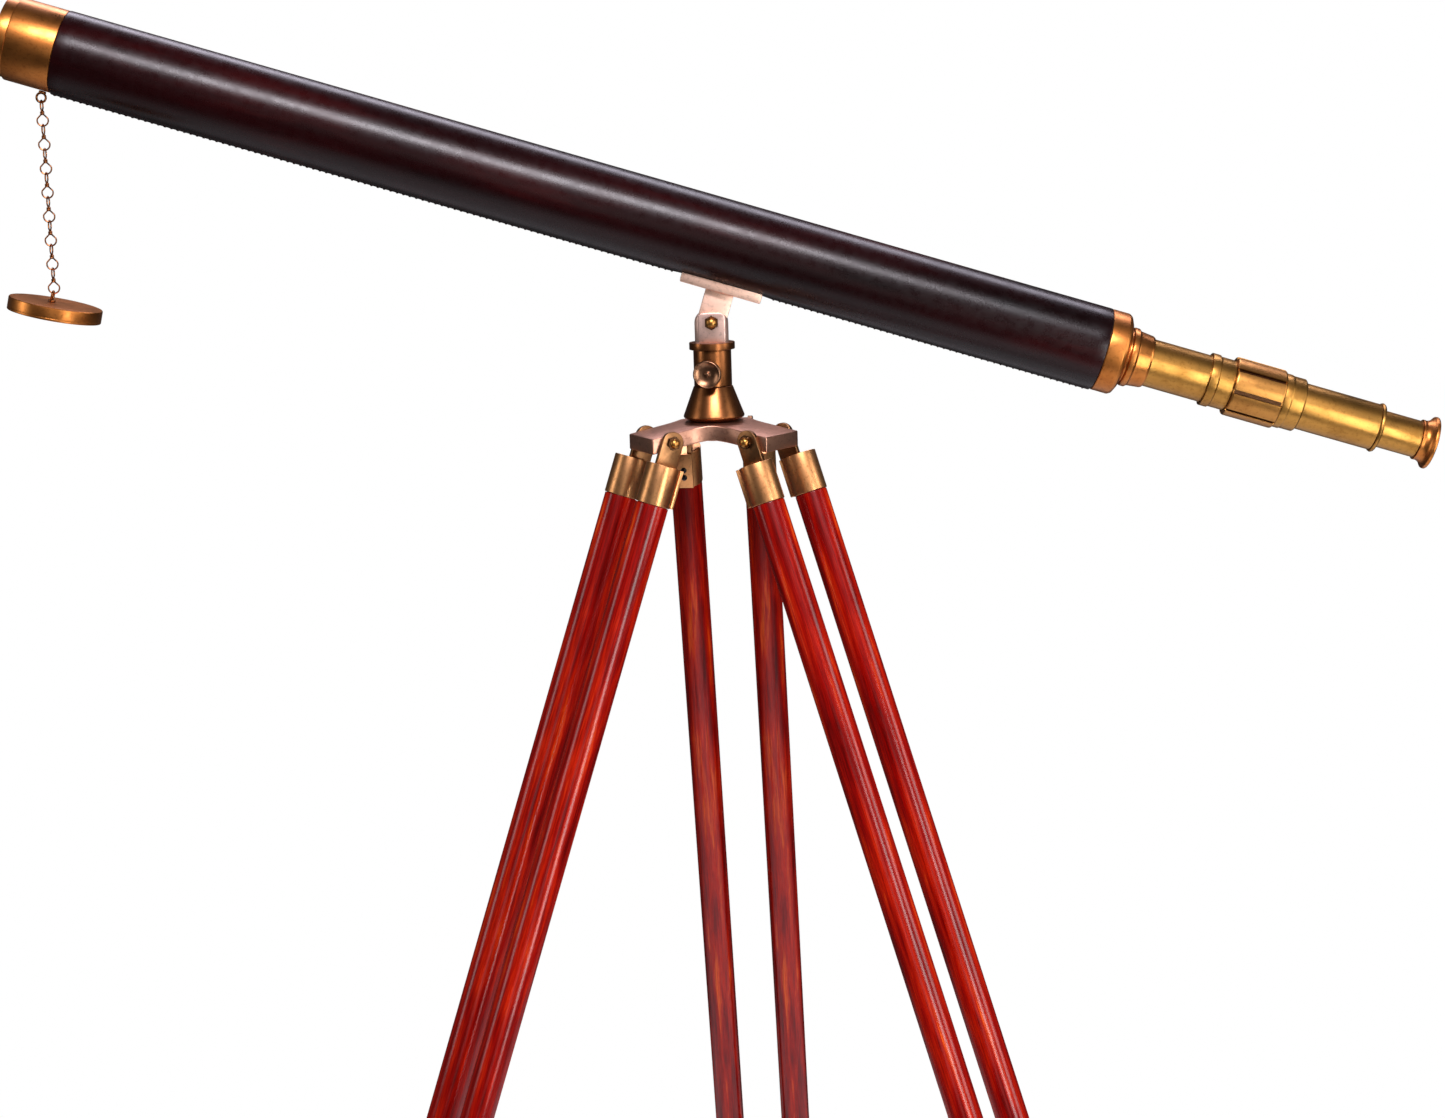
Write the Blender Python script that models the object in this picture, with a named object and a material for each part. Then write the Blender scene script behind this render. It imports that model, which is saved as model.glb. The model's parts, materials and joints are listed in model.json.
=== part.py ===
"""Antique-style brass telescope on a three-legged wooden stand.

The stand's column carries a fork that swivels; the fork carries the leather-covered tube, which
tilts. A draw tube and an eyepiece tube slide out of its lower end, and the lens cap hangs from
its upper end on a chain. Each leg is a pair of round rods that hinges on the hub, with a single
lower rod that slides between the pair. One object is one piece, and the empties mark the joints.
"""

import math

import bmesh
import bpy
from mathutils import Matrix, Vector

MM = 0.001
GAP = 0.3 * MM

# The stand: heights are measured from the floor, and levels from the tilt pivot.
PIVOT_HEIGHT = 1427 * MM
STAND_X = -7 * MM
STAND_Y = -107 * MM
LEG_AZIMUTHS = {"a": 205.2, "b": 325.2, "c": 85.2}
LEG_SPREAD = math.atan(0.357)

# The telescope: places along its axis are measured from the point above the tilt pivot.
ELEVATION = math.radians(17.6)
AXIS_RISE = 56 * MM
LEATHER_RADIUS = 29.25 * MM
TUBE_RADIUS = LEATHER_RADIUS - 1.2 * MM
TUBE_BORE = TUBE_RADIUS - 1.5 * MM
OBJECTIVE_FRONT = -522 * MM
CELL_SHOULDER = -514 * MM
LEATHER_FRONT = -481 * MM
LEATHER_REAR = 268 * MM
DRAW_RADIUS = 16.85 * MM
DRAW_END = 350 * MM
BARREL_FRONT = 362 * MM
BARREL_REAR = 398 * MM
END_RING_REAR = 413.6 * MM
ERECTOR_RADIUS = 16.5 * MM
BEAD_REAR = 472 * MM
EYEPIECE_RADIUS = 13.2 * MM
EYECUP_FRONT = 501 * MM
EYECUP_REAR = 511.4 * MM

# The head of the stand.
FORK_TOP = 6.4 * MM
COLLAR_TOP = -14.3 * MM
COLLAR_BOTTOM = -19.3 * MM
COLUMN_RADIUS = 13.3 * MM
COLUMN_BOTTOM = -44.8 * MM
CONE_BASE = -66.0 * MM
HUB_TOP = -69.8 * MM
HUB_THICKNESS = 10.8 * MM
HUB_DROP = 6.8 * MM
HUB_FLAT_RADIUS = 16 * MM
ARM_END = 57 * MM
ARM_HALF = 20 * MM
WEB_FILLET = 30 * MM
BOLT_CIRCLE = 43 * MM
BOLT_LEVEL = -80 * MM
BOLT_RADIUS = 3 * MM
BORE_RADIUS = BOLT_RADIUS + GAP
LOCK_LEVEL = -35 * MM
LOCK_AZIMUTH = -101.0

# One leg: places along it are measured down from its hinge bolt.
ROD_OFFSET = 4 * MM
ROD_SPACING = 27 * MM
ROD_RADIUS = 11.4 * MM
TENON_RADIUS = 10.2 * MM
FERRULE_RADIUS = 12.0 * MM
FERRULE_TOP = 16.5 * MM
FERRULE_END = 44.5 * MM
EAR_HALF = 8 * MM
EAR_INNER = ARM_HALF + 0.4 * MM
EAR_THICKNESS = 3.5 * MM
UPPER_ROD_END = 766 * MM
CLAMP_TOP = 736 * MM
CLAMP_END = 770 * MM
CLAMP_LOCK = 753 * MM
LOWER_ROD_TOP = 660 * MM
LOWER_ROD_END = 1378 * MM
FOOT_TOP = 1338 * MM
FOOT_TIP = 1440 * MM

# The chain is a row of small rings, and the lens cap hangs off its centre, which tips it.
RING_RADIUS = 4.25 * MM
WIRE_RADIUS = 0.8 * MM
CHAIN_RINGS = 8
EYELET_RADIUS = 3.2 * MM
CAP_RADIUS = 32.5 * MM
CAP_DEPTH = 9.3 * MM
CAP_WALL = 1.5 * MM
CAP_TIP = math.radians(12.9)
CAP_OFFSET = 3.0 * MM

ROUND = 24
FINE = 16
SMALL = 12


def clear_scene():
    """Remove everything that a new scene starts with."""
    for obj in list(bpy.data.objects):
        bpy.data.objects.remove(obj, do_unlink=True)


def material(name, colour, roughness, metallic=0.0, transmission=0.0):
    """Make a plain Principled material."""
    mat = bpy.data.materials.new(name)
    mat.use_nodes = True
    shader = mat.node_tree.nodes["Principled BSDF"]
    shader.inputs["Base Color"].default_value = (*colour, 1.0)
    shader.inputs["Roughness"].default_value = roughness
    shader.inputs["Metallic"].default_value = metallic
    shader.inputs["Transmission Weight"].default_value = transmission
    mat.diffuse_color = (*colour, 1.0)
    return mat


FINISHES = {
    "copper_brass": ((0.62, 0.30, 0.13), 0.28, 1.0, 0.0),
    "gold_brass": ((0.55, 0.36, 0.13), 0.30, 1.0, 0.0),
    "rose_brass": ((0.72, 0.45, 0.33), 0.35, 1.0, 0.0),
    "brown_brass": ((0.30, 0.18, 0.08), 0.32, 1.0, 0.0),
    "leather": ((0.035, 0.008, 0.008), 0.35, 0.0, 0.0),
    "mahogany": ((0.26, 0.030, 0.012), 0.25, 0.0, 0.0),
    "steel": ((0.45, 0.45, 0.46), 0.35, 1.0, 0.0),
    "glass": ((0.90, 0.95, 0.95), 0.02, 0.0, 1.0),
}


def new_object(name, mesh, parent, finish):
    """Link one piece, with its own material, to the scene under its joint's empty."""
    obj = bpy.data.objects.new(name, mesh)
    bpy.context.scene.collection.objects.link(obj)
    obj.parent = parent
    if finish:
        mesh.materials.append(material(name, *FINISHES[finish]))
    return obj


def empty(name, parent=None, matrix=None):
    """Make an empty that stands on a joint's axis."""
    obj = bpy.data.objects.new(name, None)
    bpy.context.scene.collection.objects.link(obj)
    obj.parent = parent
    obj.matrix_local = matrix or Matrix.Identity(4)
    return obj


def finish_mesh(name, bm, smooth=True):
    """Turn a bmesh into a mesh with outward normals and sharp creases."""
    bmesh.ops.remove_doubles(bm, verts=bm.verts, dist=1e-7)
    bmesh.ops.recalc_face_normals(bm, faces=bm.faces)
    mesh = bpy.data.meshes.new(name)
    bm.to_mesh(mesh)
    bm.free()
    if smooth:
        mesh.shade_smooth()
        mesh.set_sharp_from_angle(angle=math.radians(35))
    return mesh


def turn_matrix(axis):
    """Rotation that lays a piece turned about Z along another axis."""
    return {
        "X": Matrix.Rotation(math.pi / 2, 4, "Y"),
        "Y": Matrix.Rotation(-math.pi / 2, 4, "X"),
        "Z": Matrix.Identity(4),
    }[axis]


def ring_radius(radius, angle, sides):
    """Radius at an angle of a circle, or of a polygon given half its width across flats."""
    if not sides:
        return radius
    sector = 2 * math.pi / sides
    return radius / math.cos((angle + sector / 2) % sector - sector / 2)


def turned_mesh(name, profile, axis="Z", segments=FINE, at=(0, 0, 0)):
    """Turn an outline of (place, radius) or (place, radius, sides) points about an axis.

    An outline that starts and ends at radius 0 is a solid; any other one closes on itself, as a
    ring or a tube does.
    """
    bm = bmesh.new()
    rings = []
    for place, radius, *sides in profile:
        if radius == 0:
            rings.append([bm.verts.new((0, 0, place))] * segments)
            continue
        ring = []
        for i in range(segments):
            angle = 2 * math.pi * i / segments
            r = ring_radius(radius, angle, sides[0] if sides else 0)
            ring.append(bm.verts.new((r * math.cos(angle), r * math.sin(angle), place)))
        rings.append(ring)
    closed = profile[0][1] != 0
    pairs = list(zip(rings, rings[1:]))
    if closed:
        pairs.append((rings[-1], rings[0]))
    for here, there in pairs:
        for i in range(segments):
            j = (i + 1) % segments
            corners = []
            for vert in (here[i], here[j], there[j], there[i]):
                if vert not in corners:
                    corners.append(vert)
            if len(corners) > 2:
                bm.faces.new(corners)
    bmesh.ops.transform(bm, matrix=Matrix.Translation(at) @ turn_matrix(axis), verts=bm.verts)
    return finish_mesh(name, bm)


def turned(name, profile, parent, finish, axis="Z", segments=FINE, at=(0, 0, 0)):
    """Add a turned piece to the scene."""
    return new_object(name, turned_mesh(name, profile, axis, segments, at), parent, finish)


def prism_mesh(name, outline, low, high, axis="Z", at=(0, 0, 0), smooth=True):
    """Extrude a closed outline of (u, v) points along an axis, from low to high."""
    place = {
        "X": lambda u, v, w: (w, u, v),
        "Y": lambda u, v, w: (u, w, v),
        "Z": lambda u, v, w: (u, v, w),
    }[axis]
    bm = bmesh.new()
    bottom = [bm.verts.new(place(u, v, low)) for u, v in outline]
    top = [bm.verts.new(place(u, v, high)) for u, v in outline]
    bm.faces.new(bottom)
    bm.faces.new(top)
    for i in range(len(outline)):
        j = (i + 1) % len(outline)
        bm.faces.new((bottom[i], bottom[j], top[j], top[i]))
    bmesh.ops.transform(bm, matrix=Matrix.Translation(at), verts=bm.verts)
    return finish_mesh(name, bm, smooth)


def arc(centre_u, centre_v, radius, start, stop, steps):
    """Points of an arc, in degrees, with both its ends."""
    points = []
    for i in range(steps + 1):
        angle = math.radians(start + (stop - start) * i / steps)
        points.append((centre_u + radius * math.cos(angle), centre_v + radius * math.sin(angle)))
    return points


def torus_mesh(name, radius, wire, axis, at, around=8, across=5):
    """A ring of round wire whose hole faces along an axis."""
    start = math.pi / across
    profile = []
    for i in range(across):
        angle = start + 2 * math.pi * i / across
        profile.append((wire * math.sin(angle), radius + wire * math.cos(angle)))
    return turned_mesh(name, profile, axis, around, at)


def helper(obj, mesh, parent_matrix=None):
    """Make a hidden cutter or added body that shares a piece's own frame."""
    tool = bpy.data.objects.new(mesh.name, mesh)
    bpy.context.scene.collection.objects.link(tool)
    tool.parent = obj.parent
    tool.hide_render = True
    tool.display_type = "WIRE"
    if parent_matrix:
        tool.matrix_local = parent_matrix
    return tool


def combine(obj, mesh, operation):
    """Add a Boolean that joins a body to a piece, cuts it away, or keeps what both share."""
    modifier = obj.modifiers.new(f"{operation.lower()}_{mesh.name}", "BOOLEAN")
    modifier.operation = operation
    modifier.solver = "EXACT"
    modifier.object = helper(obj, mesh)
    return modifier


def tube_profile(start, end, outer, inner, edge=0.4 * MM):
    """Outline of a plain tube with softened outer edges."""
    return [
        (start, inner),
        (start, outer - edge),
        (start + edge, outer),
        (end - edge, outer),
        (end, outer - edge),
        (end, inner),
    ]


def rod_profile(start, end, radius, edge=0.5 * MM):
    """Outline of a solid rod with softened ends."""
    return [
        (start, 0),
        (start, radius - edge),
        (start + edge, radius),
        (end - edge, radius),
        (end, radius - edge),
        (end, 0),
    ]


def hole_profile(start, end, radius):
    """Outline of a plain round cutter."""
    return [(start, 0), (start, radius), (end, radius), (end, 0)]


def bolt_profile(grip, radius, flats, head, dome):
    """Outline of a bolt with a hexagon and a dome at each end of its grip."""
    half = grip / 2
    return [
        (-half - head - dome, 0),
        (-half - head - 0.75 * dome, 0.6 * flats),
        (-half - head, 0.9 * flats),
        (-half - head, flats, 6),
        (-half, flats, 6),
        (-half, radius),
        (half, radius),
        (half, flats, 6),
        (half + head, flats, 6),
        (half + head, 0.9 * flats),
        (half + head + 0.75 * dome, 0.6 * flats),
        (half + head + dome, 0),
    ]


def knob_profile(inner, start, end, shank, radius):
    """Outline of a dished round knob on a screw, with a raised rim and a centre button."""
    rim = 1.6 * MM
    dish = 1.8 * MM
    return [
        (inner, 0),
        (inner, shank),
        (start, shank),
        (start + 1.2 * MM, radius - 1.0 * MM),
        (start + 2.6 * MM, radius),
        (end, radius),
        (end + 0.6 * MM, radius - 0.5 * rim),
        (end, radius - rim),
        (end - dish, 0.35 * radius),
        (end - dish, 0.2 * radius),
        (end - 0.2 * MM, 0.12 * radius),
        (end - 0.2 * MM, 0),
    ]


# ---------------------------------------------------------------- the stand's head


def hub_outline():
    """Plan of the three-armed hub, with a rounded web between each two arms."""
    corner = ARM_HALF / math.sin(math.radians(60))
    tangent = corner * 0.5 + WEB_FILLET / math.tan(math.radians(60))
    points = []
    for azimuth in sorted(LEG_AZIMUTHS.values()):
        spin = Matrix.Rotation(math.radians(azimuth), 2)
        arm = [(tangent, -ARM_HALF), (ARM_END, -ARM_HALF), (ARM_END, ARM_HALF), (tangent, ARM_HALF)]
        points += [tuple(spin @ Vector(p)) for p in arm]
        middle = math.radians(azimuth + 60)
        reach = corner + WEB_FILLET / math.sin(math.radians(60))
        centre = (reach * math.cos(middle), reach * math.sin(middle))
        web = arc(*centre, WEB_FILLET, azimuth + 270, azimuth + 210, 6)
        points += web[1:-1]
    return points


def along_nearest_arm(point):
    """How far out a point is along the arm that it is nearest to."""
    reach = 0.0
    for azimuth in LEG_AZIMUTHS.values():
        angle = math.radians(azimuth)
        reach = max(reach, point.x * math.cos(angle) + point.y * math.sin(angle))
    return reach


def hub_spider(stand):
    """The cast hub: flat in the middle, with arms that fall away outwards."""
    bm = bmesh.new()
    outline = hub_outline()
    bottom = [bm.verts.new((x, y, HUB_TOP - HUB_THICKNESS)) for x, y in outline]
    top = [bm.verts.new((x, y, HUB_TOP)) for x, y in outline]
    bm.faces.new(bottom)
    bm.faces.new(top)
    for i in range(len(outline)):
        j = (i + 1) % len(outline)
        bm.faces.new((bottom[i], bottom[j], top[j], top[i]))
    for azimuth in LEG_AZIMUTHS.values():
        angle = math.radians(azimuth)
        outward = Vector((math.cos(angle), math.sin(angle), 0))
        side = Vector((-math.sin(angle), math.cos(angle), 0))
        for place, normal in ((outward * HUB_FLAT_RADIUS, outward), (Vector(), side)):
            geometry = bm.verts[:] + bm.edges[:] + bm.faces[:]
            bmesh.ops.bisect_plane(bm, geom=geometry, plane_co=place, plane_no=normal, dist=1e-7)
    slope = HUB_DROP / (ARM_END - HUB_FLAT_RADIUS)
    for vert in bm.verts:
        vert.co.z -= slope * max(0.0, along_nearest_arm(vert.co) - HUB_FLAT_RADIUS)
    mesh = finish_mesh("hub_spider", bm, smooth=False)
    hub = new_object("hub_spider", mesh, stand, "rose_brass")
    hub_bore = turned_mesh("hub_centre_bore", hole_profile(-90 * MM, -60 * MM, 5.3 * MM))
    combine(hub, hub_bore, "DIFFERENCE")
    for name, azimuth in LEG_AZIMUTHS.items():
        bore = turned_mesh(
            f"hub_bore_{name}", hole_profile(-30 * MM, 30 * MM, BORE_RADIUS), "Y", SMALL
        )
        matrix = Matrix.Rotation(math.radians(azimuth), 4, "Z")
        bore.transform(matrix @ Matrix.Translation((BOLT_CIRCLE, 0, BOLT_LEVEL)))
        combine(hub, bore, "DIFFERENCE")
    return hub


def stand_head(stand):
    """Cone, column, hub screw and hub of the fixed head."""
    hub_spider(stand)
    turned(
        "cone_socket",
        [
            (HUB_TOP + GAP, 5.3 * MM),
            (HUB_TOP + GAP, 16.5 * MM),
            (CONE_BASE - 1 * MM, 21.0 * MM),
            (CONE_BASE, 21.5 * MM),
            (CONE_BASE + 1 * MM, 21.2 * MM),
            (COLUMN_BOTTOM - GAP, 13.7 * MM),
            (COLUMN_BOTTOM - GAP, 5.3 * MM),
        ],
        stand,
        "brown_brass",
        segments=ROUND,
    )
    turned(
        "hub_screw",
        [
            (HUB_TOP - HUB_THICKNESS - GAP - 2.2 * MM, 0),
            (HUB_TOP - HUB_THICKNESS - GAP - 2.2 * MM, 9 * MM, 6),
            (HUB_TOP - HUB_THICKNESS - GAP, 9 * MM, 6),
            (HUB_TOP - HUB_THICKNESS - GAP, 5 * MM),
            (COLUMN_BOTTOM - 2 * GAP, 5 * MM),
            (COLUMN_BOTTOM - 2 * GAP, 0),
        ],
        stand,
        "brown_brass",
    )
    column = turned(
        "column",
        [
            (COLUMN_BOTTOM, 0),
            (COLUMN_BOTTOM, COLUMN_RADIUS - 0.4 * MM),
            (COLUMN_BOTTOM + 0.4 * MM, COLUMN_RADIUS),
            (COLLAR_BOTTOM - GAP - 0.4 * MM, COLUMN_RADIUS),
            (COLLAR_BOTTOM - GAP, COLUMN_RADIUS - 0.4 * MM),
            (COLLAR_BOTTOM - GAP, 8.3 * MM),
            (-41 * MM, 8.3 * MM),
            (-41 * MM, 0),
        ],
        stand,
        "brown_brass",
        segments=ROUND,
    )
    bore = turned_mesh("column_lock_bore", hole_profile(5 * MM, 20 * MM, 2.8 * MM), "X", SMALL)
    matrix = Matrix.Rotation(math.radians(LOCK_AZIMUTH), 4, "Z")
    bore.transform(matrix @ Matrix.Translation((0, 0, LOCK_LEVEL)))
    combine(column, bore, "DIFFERENCE")


def azimuth_lock(stand):
    """The thumbscrew that stops the fork from swivelling."""
    place = Matrix.Translation((0, 0, LOCK_LEVEL))
    spin = Matrix.Rotation(math.radians(LOCK_AZIMUTH), 4, "Z")
    joint = empty("azimuth_lock_joint", stand, place @ spin)
    profile = knob_profile(8.4 * MM, 17 * MM, 22.5 * MM, 2.5 * MM, 9.8 * MM)
    turned("azimuth_lock_knob", profile, joint, "rose_brass", "X", FINE)


def tilt_head(swivel):
    """The fork that swivels in the column, and its bolt."""
    cheek = 9.5 * MM
    half = 11.8 * MM
    chamfer = 2.6 * MM
    plan = [
        (-half, -cheek + chamfer),
        (-half + chamfer, -cheek),
        (half - chamfer, -cheek),
        (half, -cheek + chamfer),
        (half, cheek - chamfer),
        (half - chamfer, cheek),
        (-half + chamfer, cheek),
        (-half, cheek - chamfer),
    ]
    flange = [
        (-40.5 * MM, 0),
        (-40.5 * MM, 7.5 * MM),
        (-40 * MM, 8.0 * MM),
        (COLLAR_BOTTOM, 8.0 * MM),
        (COLLAR_BOTTOM, 15.6 * MM),
        (COLLAR_BOTTOM + 0.5 * MM, 16.0 * MM),
        (COLLAR_TOP - 0.5 * MM, 16.0 * MM),
        (COLLAR_TOP, 15.6 * MM),
        (COLLAR_TOP, 0),
    ]
    fork = turned("tilt_fork", flange, swivel, "brown_brass", segments=ROUND)
    head = prism_mesh("fork_head", plan, COLLAR_TOP - 1 * MM, FORK_TOP, smooth=False)
    combine(fork, head, "UNION")
    round_top = 7 * MM
    over = 10 * MM
    for side in (-1, 1):
        corner = [
            (side * (half + over), FORK_TOP + over),
            (side * (half - round_top), FORK_TOP + over),
            (side * (half - round_top), FORK_TOP),
        ]
        for u, v in arc(half - round_top, FORK_TOP - round_top, round_top, 90, 0, 5)[1:]:
            corner.append((side * u, v))
        corner.append((side * (half + over), FORK_TOP - round_top))
        cut = prism_mesh(f"fork_corner_{side}", corner, -over * 2, over * 2, "Y")
        combine(fork, cut, "DIFFERENCE")
    slot_half = 4.3 * MM
    slot = [
        (-slot_half, -11 * MM),
        (slot_half, -11 * MM),
        (slot_half, 20 * MM),
        (-slot_half, 20 * MM),
    ]
    combine(fork, prism_mesh("fork_slot", slot, -30 * MM, 30 * MM, "X"), "DIFFERENCE")
    bore = turned_mesh("fork_bore", hole_profile(-20 * MM, 20 * MM, BORE_RADIUS), "Y", SMALL)
    combine(fork, bore, "DIFFERENCE")
    grip = 2 * (cheek + GAP)
    bolt = bolt_profile(grip, BOLT_RADIUS, 4.5 * MM, 3.2 * MM, 3.0 * MM)
    turned("tilt_bolt", bolt, swivel, "gold_brass", "Y", SMALL)


# ---------------------------------------------------------------- the telescope


def axis_parent(name, parent, place=0.0):
    """An empty on the telescope's axis, at a place along it."""
    return empty(name, parent, Matrix.Translation((place, 0, AXIS_RISE)))


def saddle(tilt):
    """The saddle plate under the tube, and the tongue that hangs in the fork."""
    plate_low = AXIS_RISE - LEATHER_RADIUS - 5.2 * MM
    half = 29 * MM
    plate_high = plate_low + 7.4 * MM
    outline = [(-half, plate_low), (half, plate_low), (half, plate_high), (-half, plate_high)]
    plate = prism_mesh("saddle_plate", outline, -10 * MM, 10 * MM, "Y", smooth=False)
    plate = new_object("saddle_plate", plate, tilt, "rose_brass")
    seat = turned_mesh(
        "saddle_seat",
        hole_profile(-60 * MM, 60 * MM, LEATHER_RADIUS + GAP),
        "X",
        ROUND,
        (0, 0, AXIS_RISE),
    )
    combine(plate, seat, "DIFFERENCE")
    width = 10 * MM
    outline = [(width, plate_low - GAP), (-width, plate_low - GAP)]
    outline += arc(0, 0, width, 180, 360, 12)
    tongue = prism_mesh("tilt_tongue", outline, -4 * MM, 4 * MM, "Y")
    tongue = new_object("tilt_tongue", tongue, tilt, "rose_brass")
    bore = turned_mesh("tongue_bore", hole_profile(-20 * MM, 20 * MM, BORE_RADIUS), "Y", SMALL)
    combine(tongue, bore, "DIFFERENCE")


def main_body(tube):
    """Tube, leather and the rings at both its ends."""
    turned(
        "main_tube",
        tube_profile(LEATHER_FRONT + 1 * MM, LEATHER_REAR + 8 * MM, TUBE_RADIUS, TUBE_BORE),
        tube,
        "gold_brass",
        "X",
        ROUND,
    )
    turned(
        "leather_sleeve",
        tube_profile(LEATHER_FRONT + GAP, LEATHER_REAR - GAP, LEATHER_RADIUS, TUBE_RADIUS + GAP),
        tube,
        "leather",
        "X",
        ROUND,
    )
    collar_inner = 17.2 * MM
    turned(
        "rear_ring",
        [
            (LEATHER_REAR, TUBE_RADIUS + GAP),
            (LEATHER_REAR, 28.6 * MM),
            (LEATHER_REAR + 0.6 * MM, 29.1 * MM),
            (280 * MM, 29.1 * MM),
            (282 * MM, 28.0 * MM),
            (284 * MM, 24.0 * MM),
            (284 * MM, 18.8 * MM),
            (286 * MM, 18.8 * MM),
            (286 * MM, 20.4 * MM),
            (287 * MM, 21.0 * MM),
            (290 * MM, 21.0 * MM),
            (291.5 * MM, 19.6 * MM),
            (300.5 * MM, 18.6 * MM),
            (302 * MM, 17.9 * MM),
            (302 * MM, collar_inner),
            (LEATHER_REAR + 8.3 * MM, collar_inner),
            (LEATHER_REAR + 8.3 * MM, TUBE_RADIUS + GAP),
        ],
        tube,
        "copper_brass",
        "X",
        ROUND,
    )


def objective(tube):
    """Objective ferrule, its front ring, and the two lenses between them."""
    bore = 26.6 * MM
    turned(
        "objective_ferrule",
        [
            (CELL_SHOULDER + GAP, bore),
            (CELL_SHOULDER + GAP, 28.3 * MM),
            (CELL_SHOULDER + 1.2 * MM, 28.9 * MM),
            (LEATHER_FRONT - 0.5 * MM, 28.9 * MM),
            (LEATHER_FRONT, 28.4 * MM),
            (LEATHER_FRONT, TUBE_BORE - GAP),
            (-462 * MM, TUBE_BORE - GAP),
            (-462 * MM, 24.5 * MM),
            (-484 * MM, 24.5 * MM),
            (-484 * MM, bore),
        ],
        tube,
        "copper_brass",
        "X",
        ROUND,
    )
    turned(
        "objective_ring",
        [
            (OBJECTIVE_FRONT, 24.5 * MM),
            (OBJECTIVE_FRONT, 26.9 * MM),
            (OBJECTIVE_FRONT + 0.8 * MM, 27.5 * MM),
            (CELL_SHOULDER, 27.5 * MM),
            (CELL_SHOULDER, bore - GAP),
            (-500 * MM, bore - GAP),
            (-500 * MM, 23.5 * MM),
            (-508 * MM, 23.5 * MM),
        ],
        tube,
        "copper_brass",
        "X",
        ROUND,
    )
    lens("crown_lens", tube, -499.6 * MM, -493 * MM, bore - GAP, 3.4 * MM, 1.4 * MM)
    lens("flint_lens", tube, -490.6 * MM, -484.4 * MM, bore - GAP, -1.8 * MM, 0.3 * MM)


def lens(name, parent, front, rear, radius, front_bulge, rear_bulge):
    """A lens whose rim runs from front to rear, with bulging or hollow faces.

    A bulge is how far a face stands out at its middle; a hollow face has a negative one.
    """
    steps = 2
    profile = []
    for i in range(steps + 1):
        share = i / steps
        inset = share * (radius - 1.2 * MM)
        profile.append((front - front_bulge * (1 - share**2), inset))
    profile += [(front, radius), (rear, radius)]
    for i in range(steps, -1, -1):
        share = i / steps
        inset = share * (radius - 1.2 * MM)
        profile.append((rear + rear_bulge * (1 - share**2), inset))
    return turned(name, profile, parent, "glass", "X", FINE)


def barrel_mesh(name):
    """The grip: a thick ring with eight lengthways grooves."""
    grooves = 8
    points = 6
    outer = 21.0 * MM
    groove = 19.3 * MM
    inner = ERECTOR_RADIUS + GAP
    bm = bmesh.new()
    places = [
        (BARREL_FRONT, 0.8 * MM),
        (BARREL_FRONT + 1.2 * MM, 0.0),
        (BARREL_REAR - 1.2 * MM, 0.0),
        (BARREL_REAR, 0.8 * MM),
    ]
    count = grooves * points
    rings = []
    for place, inset in places:
        ring = []
        for i in range(count):
            step = i % points
            angle = 2 * math.pi * (i + (0.25 if step == 1 else 0.0)) / count
            radius = (groove if step in (0, 1) else outer) - inset
            if step == 2:
                angle = 2 * math.pi * (i - 0.7) / count
            if step == 5:
                angle = 2 * math.pi * (i + 0.95) / count
            ring.append(bm.verts.new((place, radius * math.cos(angle), radius * math.sin(angle))))
        rings.append(ring)
    for place in (BARREL_REAR, BARREL_FRONT):
        ring = []
        for i in range(count):
            angle = 2 * math.pi * i / count
            ring.append(bm.verts.new((place, inner * math.cos(angle), inner * math.sin(angle))))
        rings.append(ring)
    rings.append(rings[0])
    for here, there in zip(rings, rings[1:]):
        for i in range(count):
            j = (i + 1) % count
            bm.faces.new((here[i], here[j], there[j], there[i]))
    return finish_mesh(name, bm)


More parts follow.
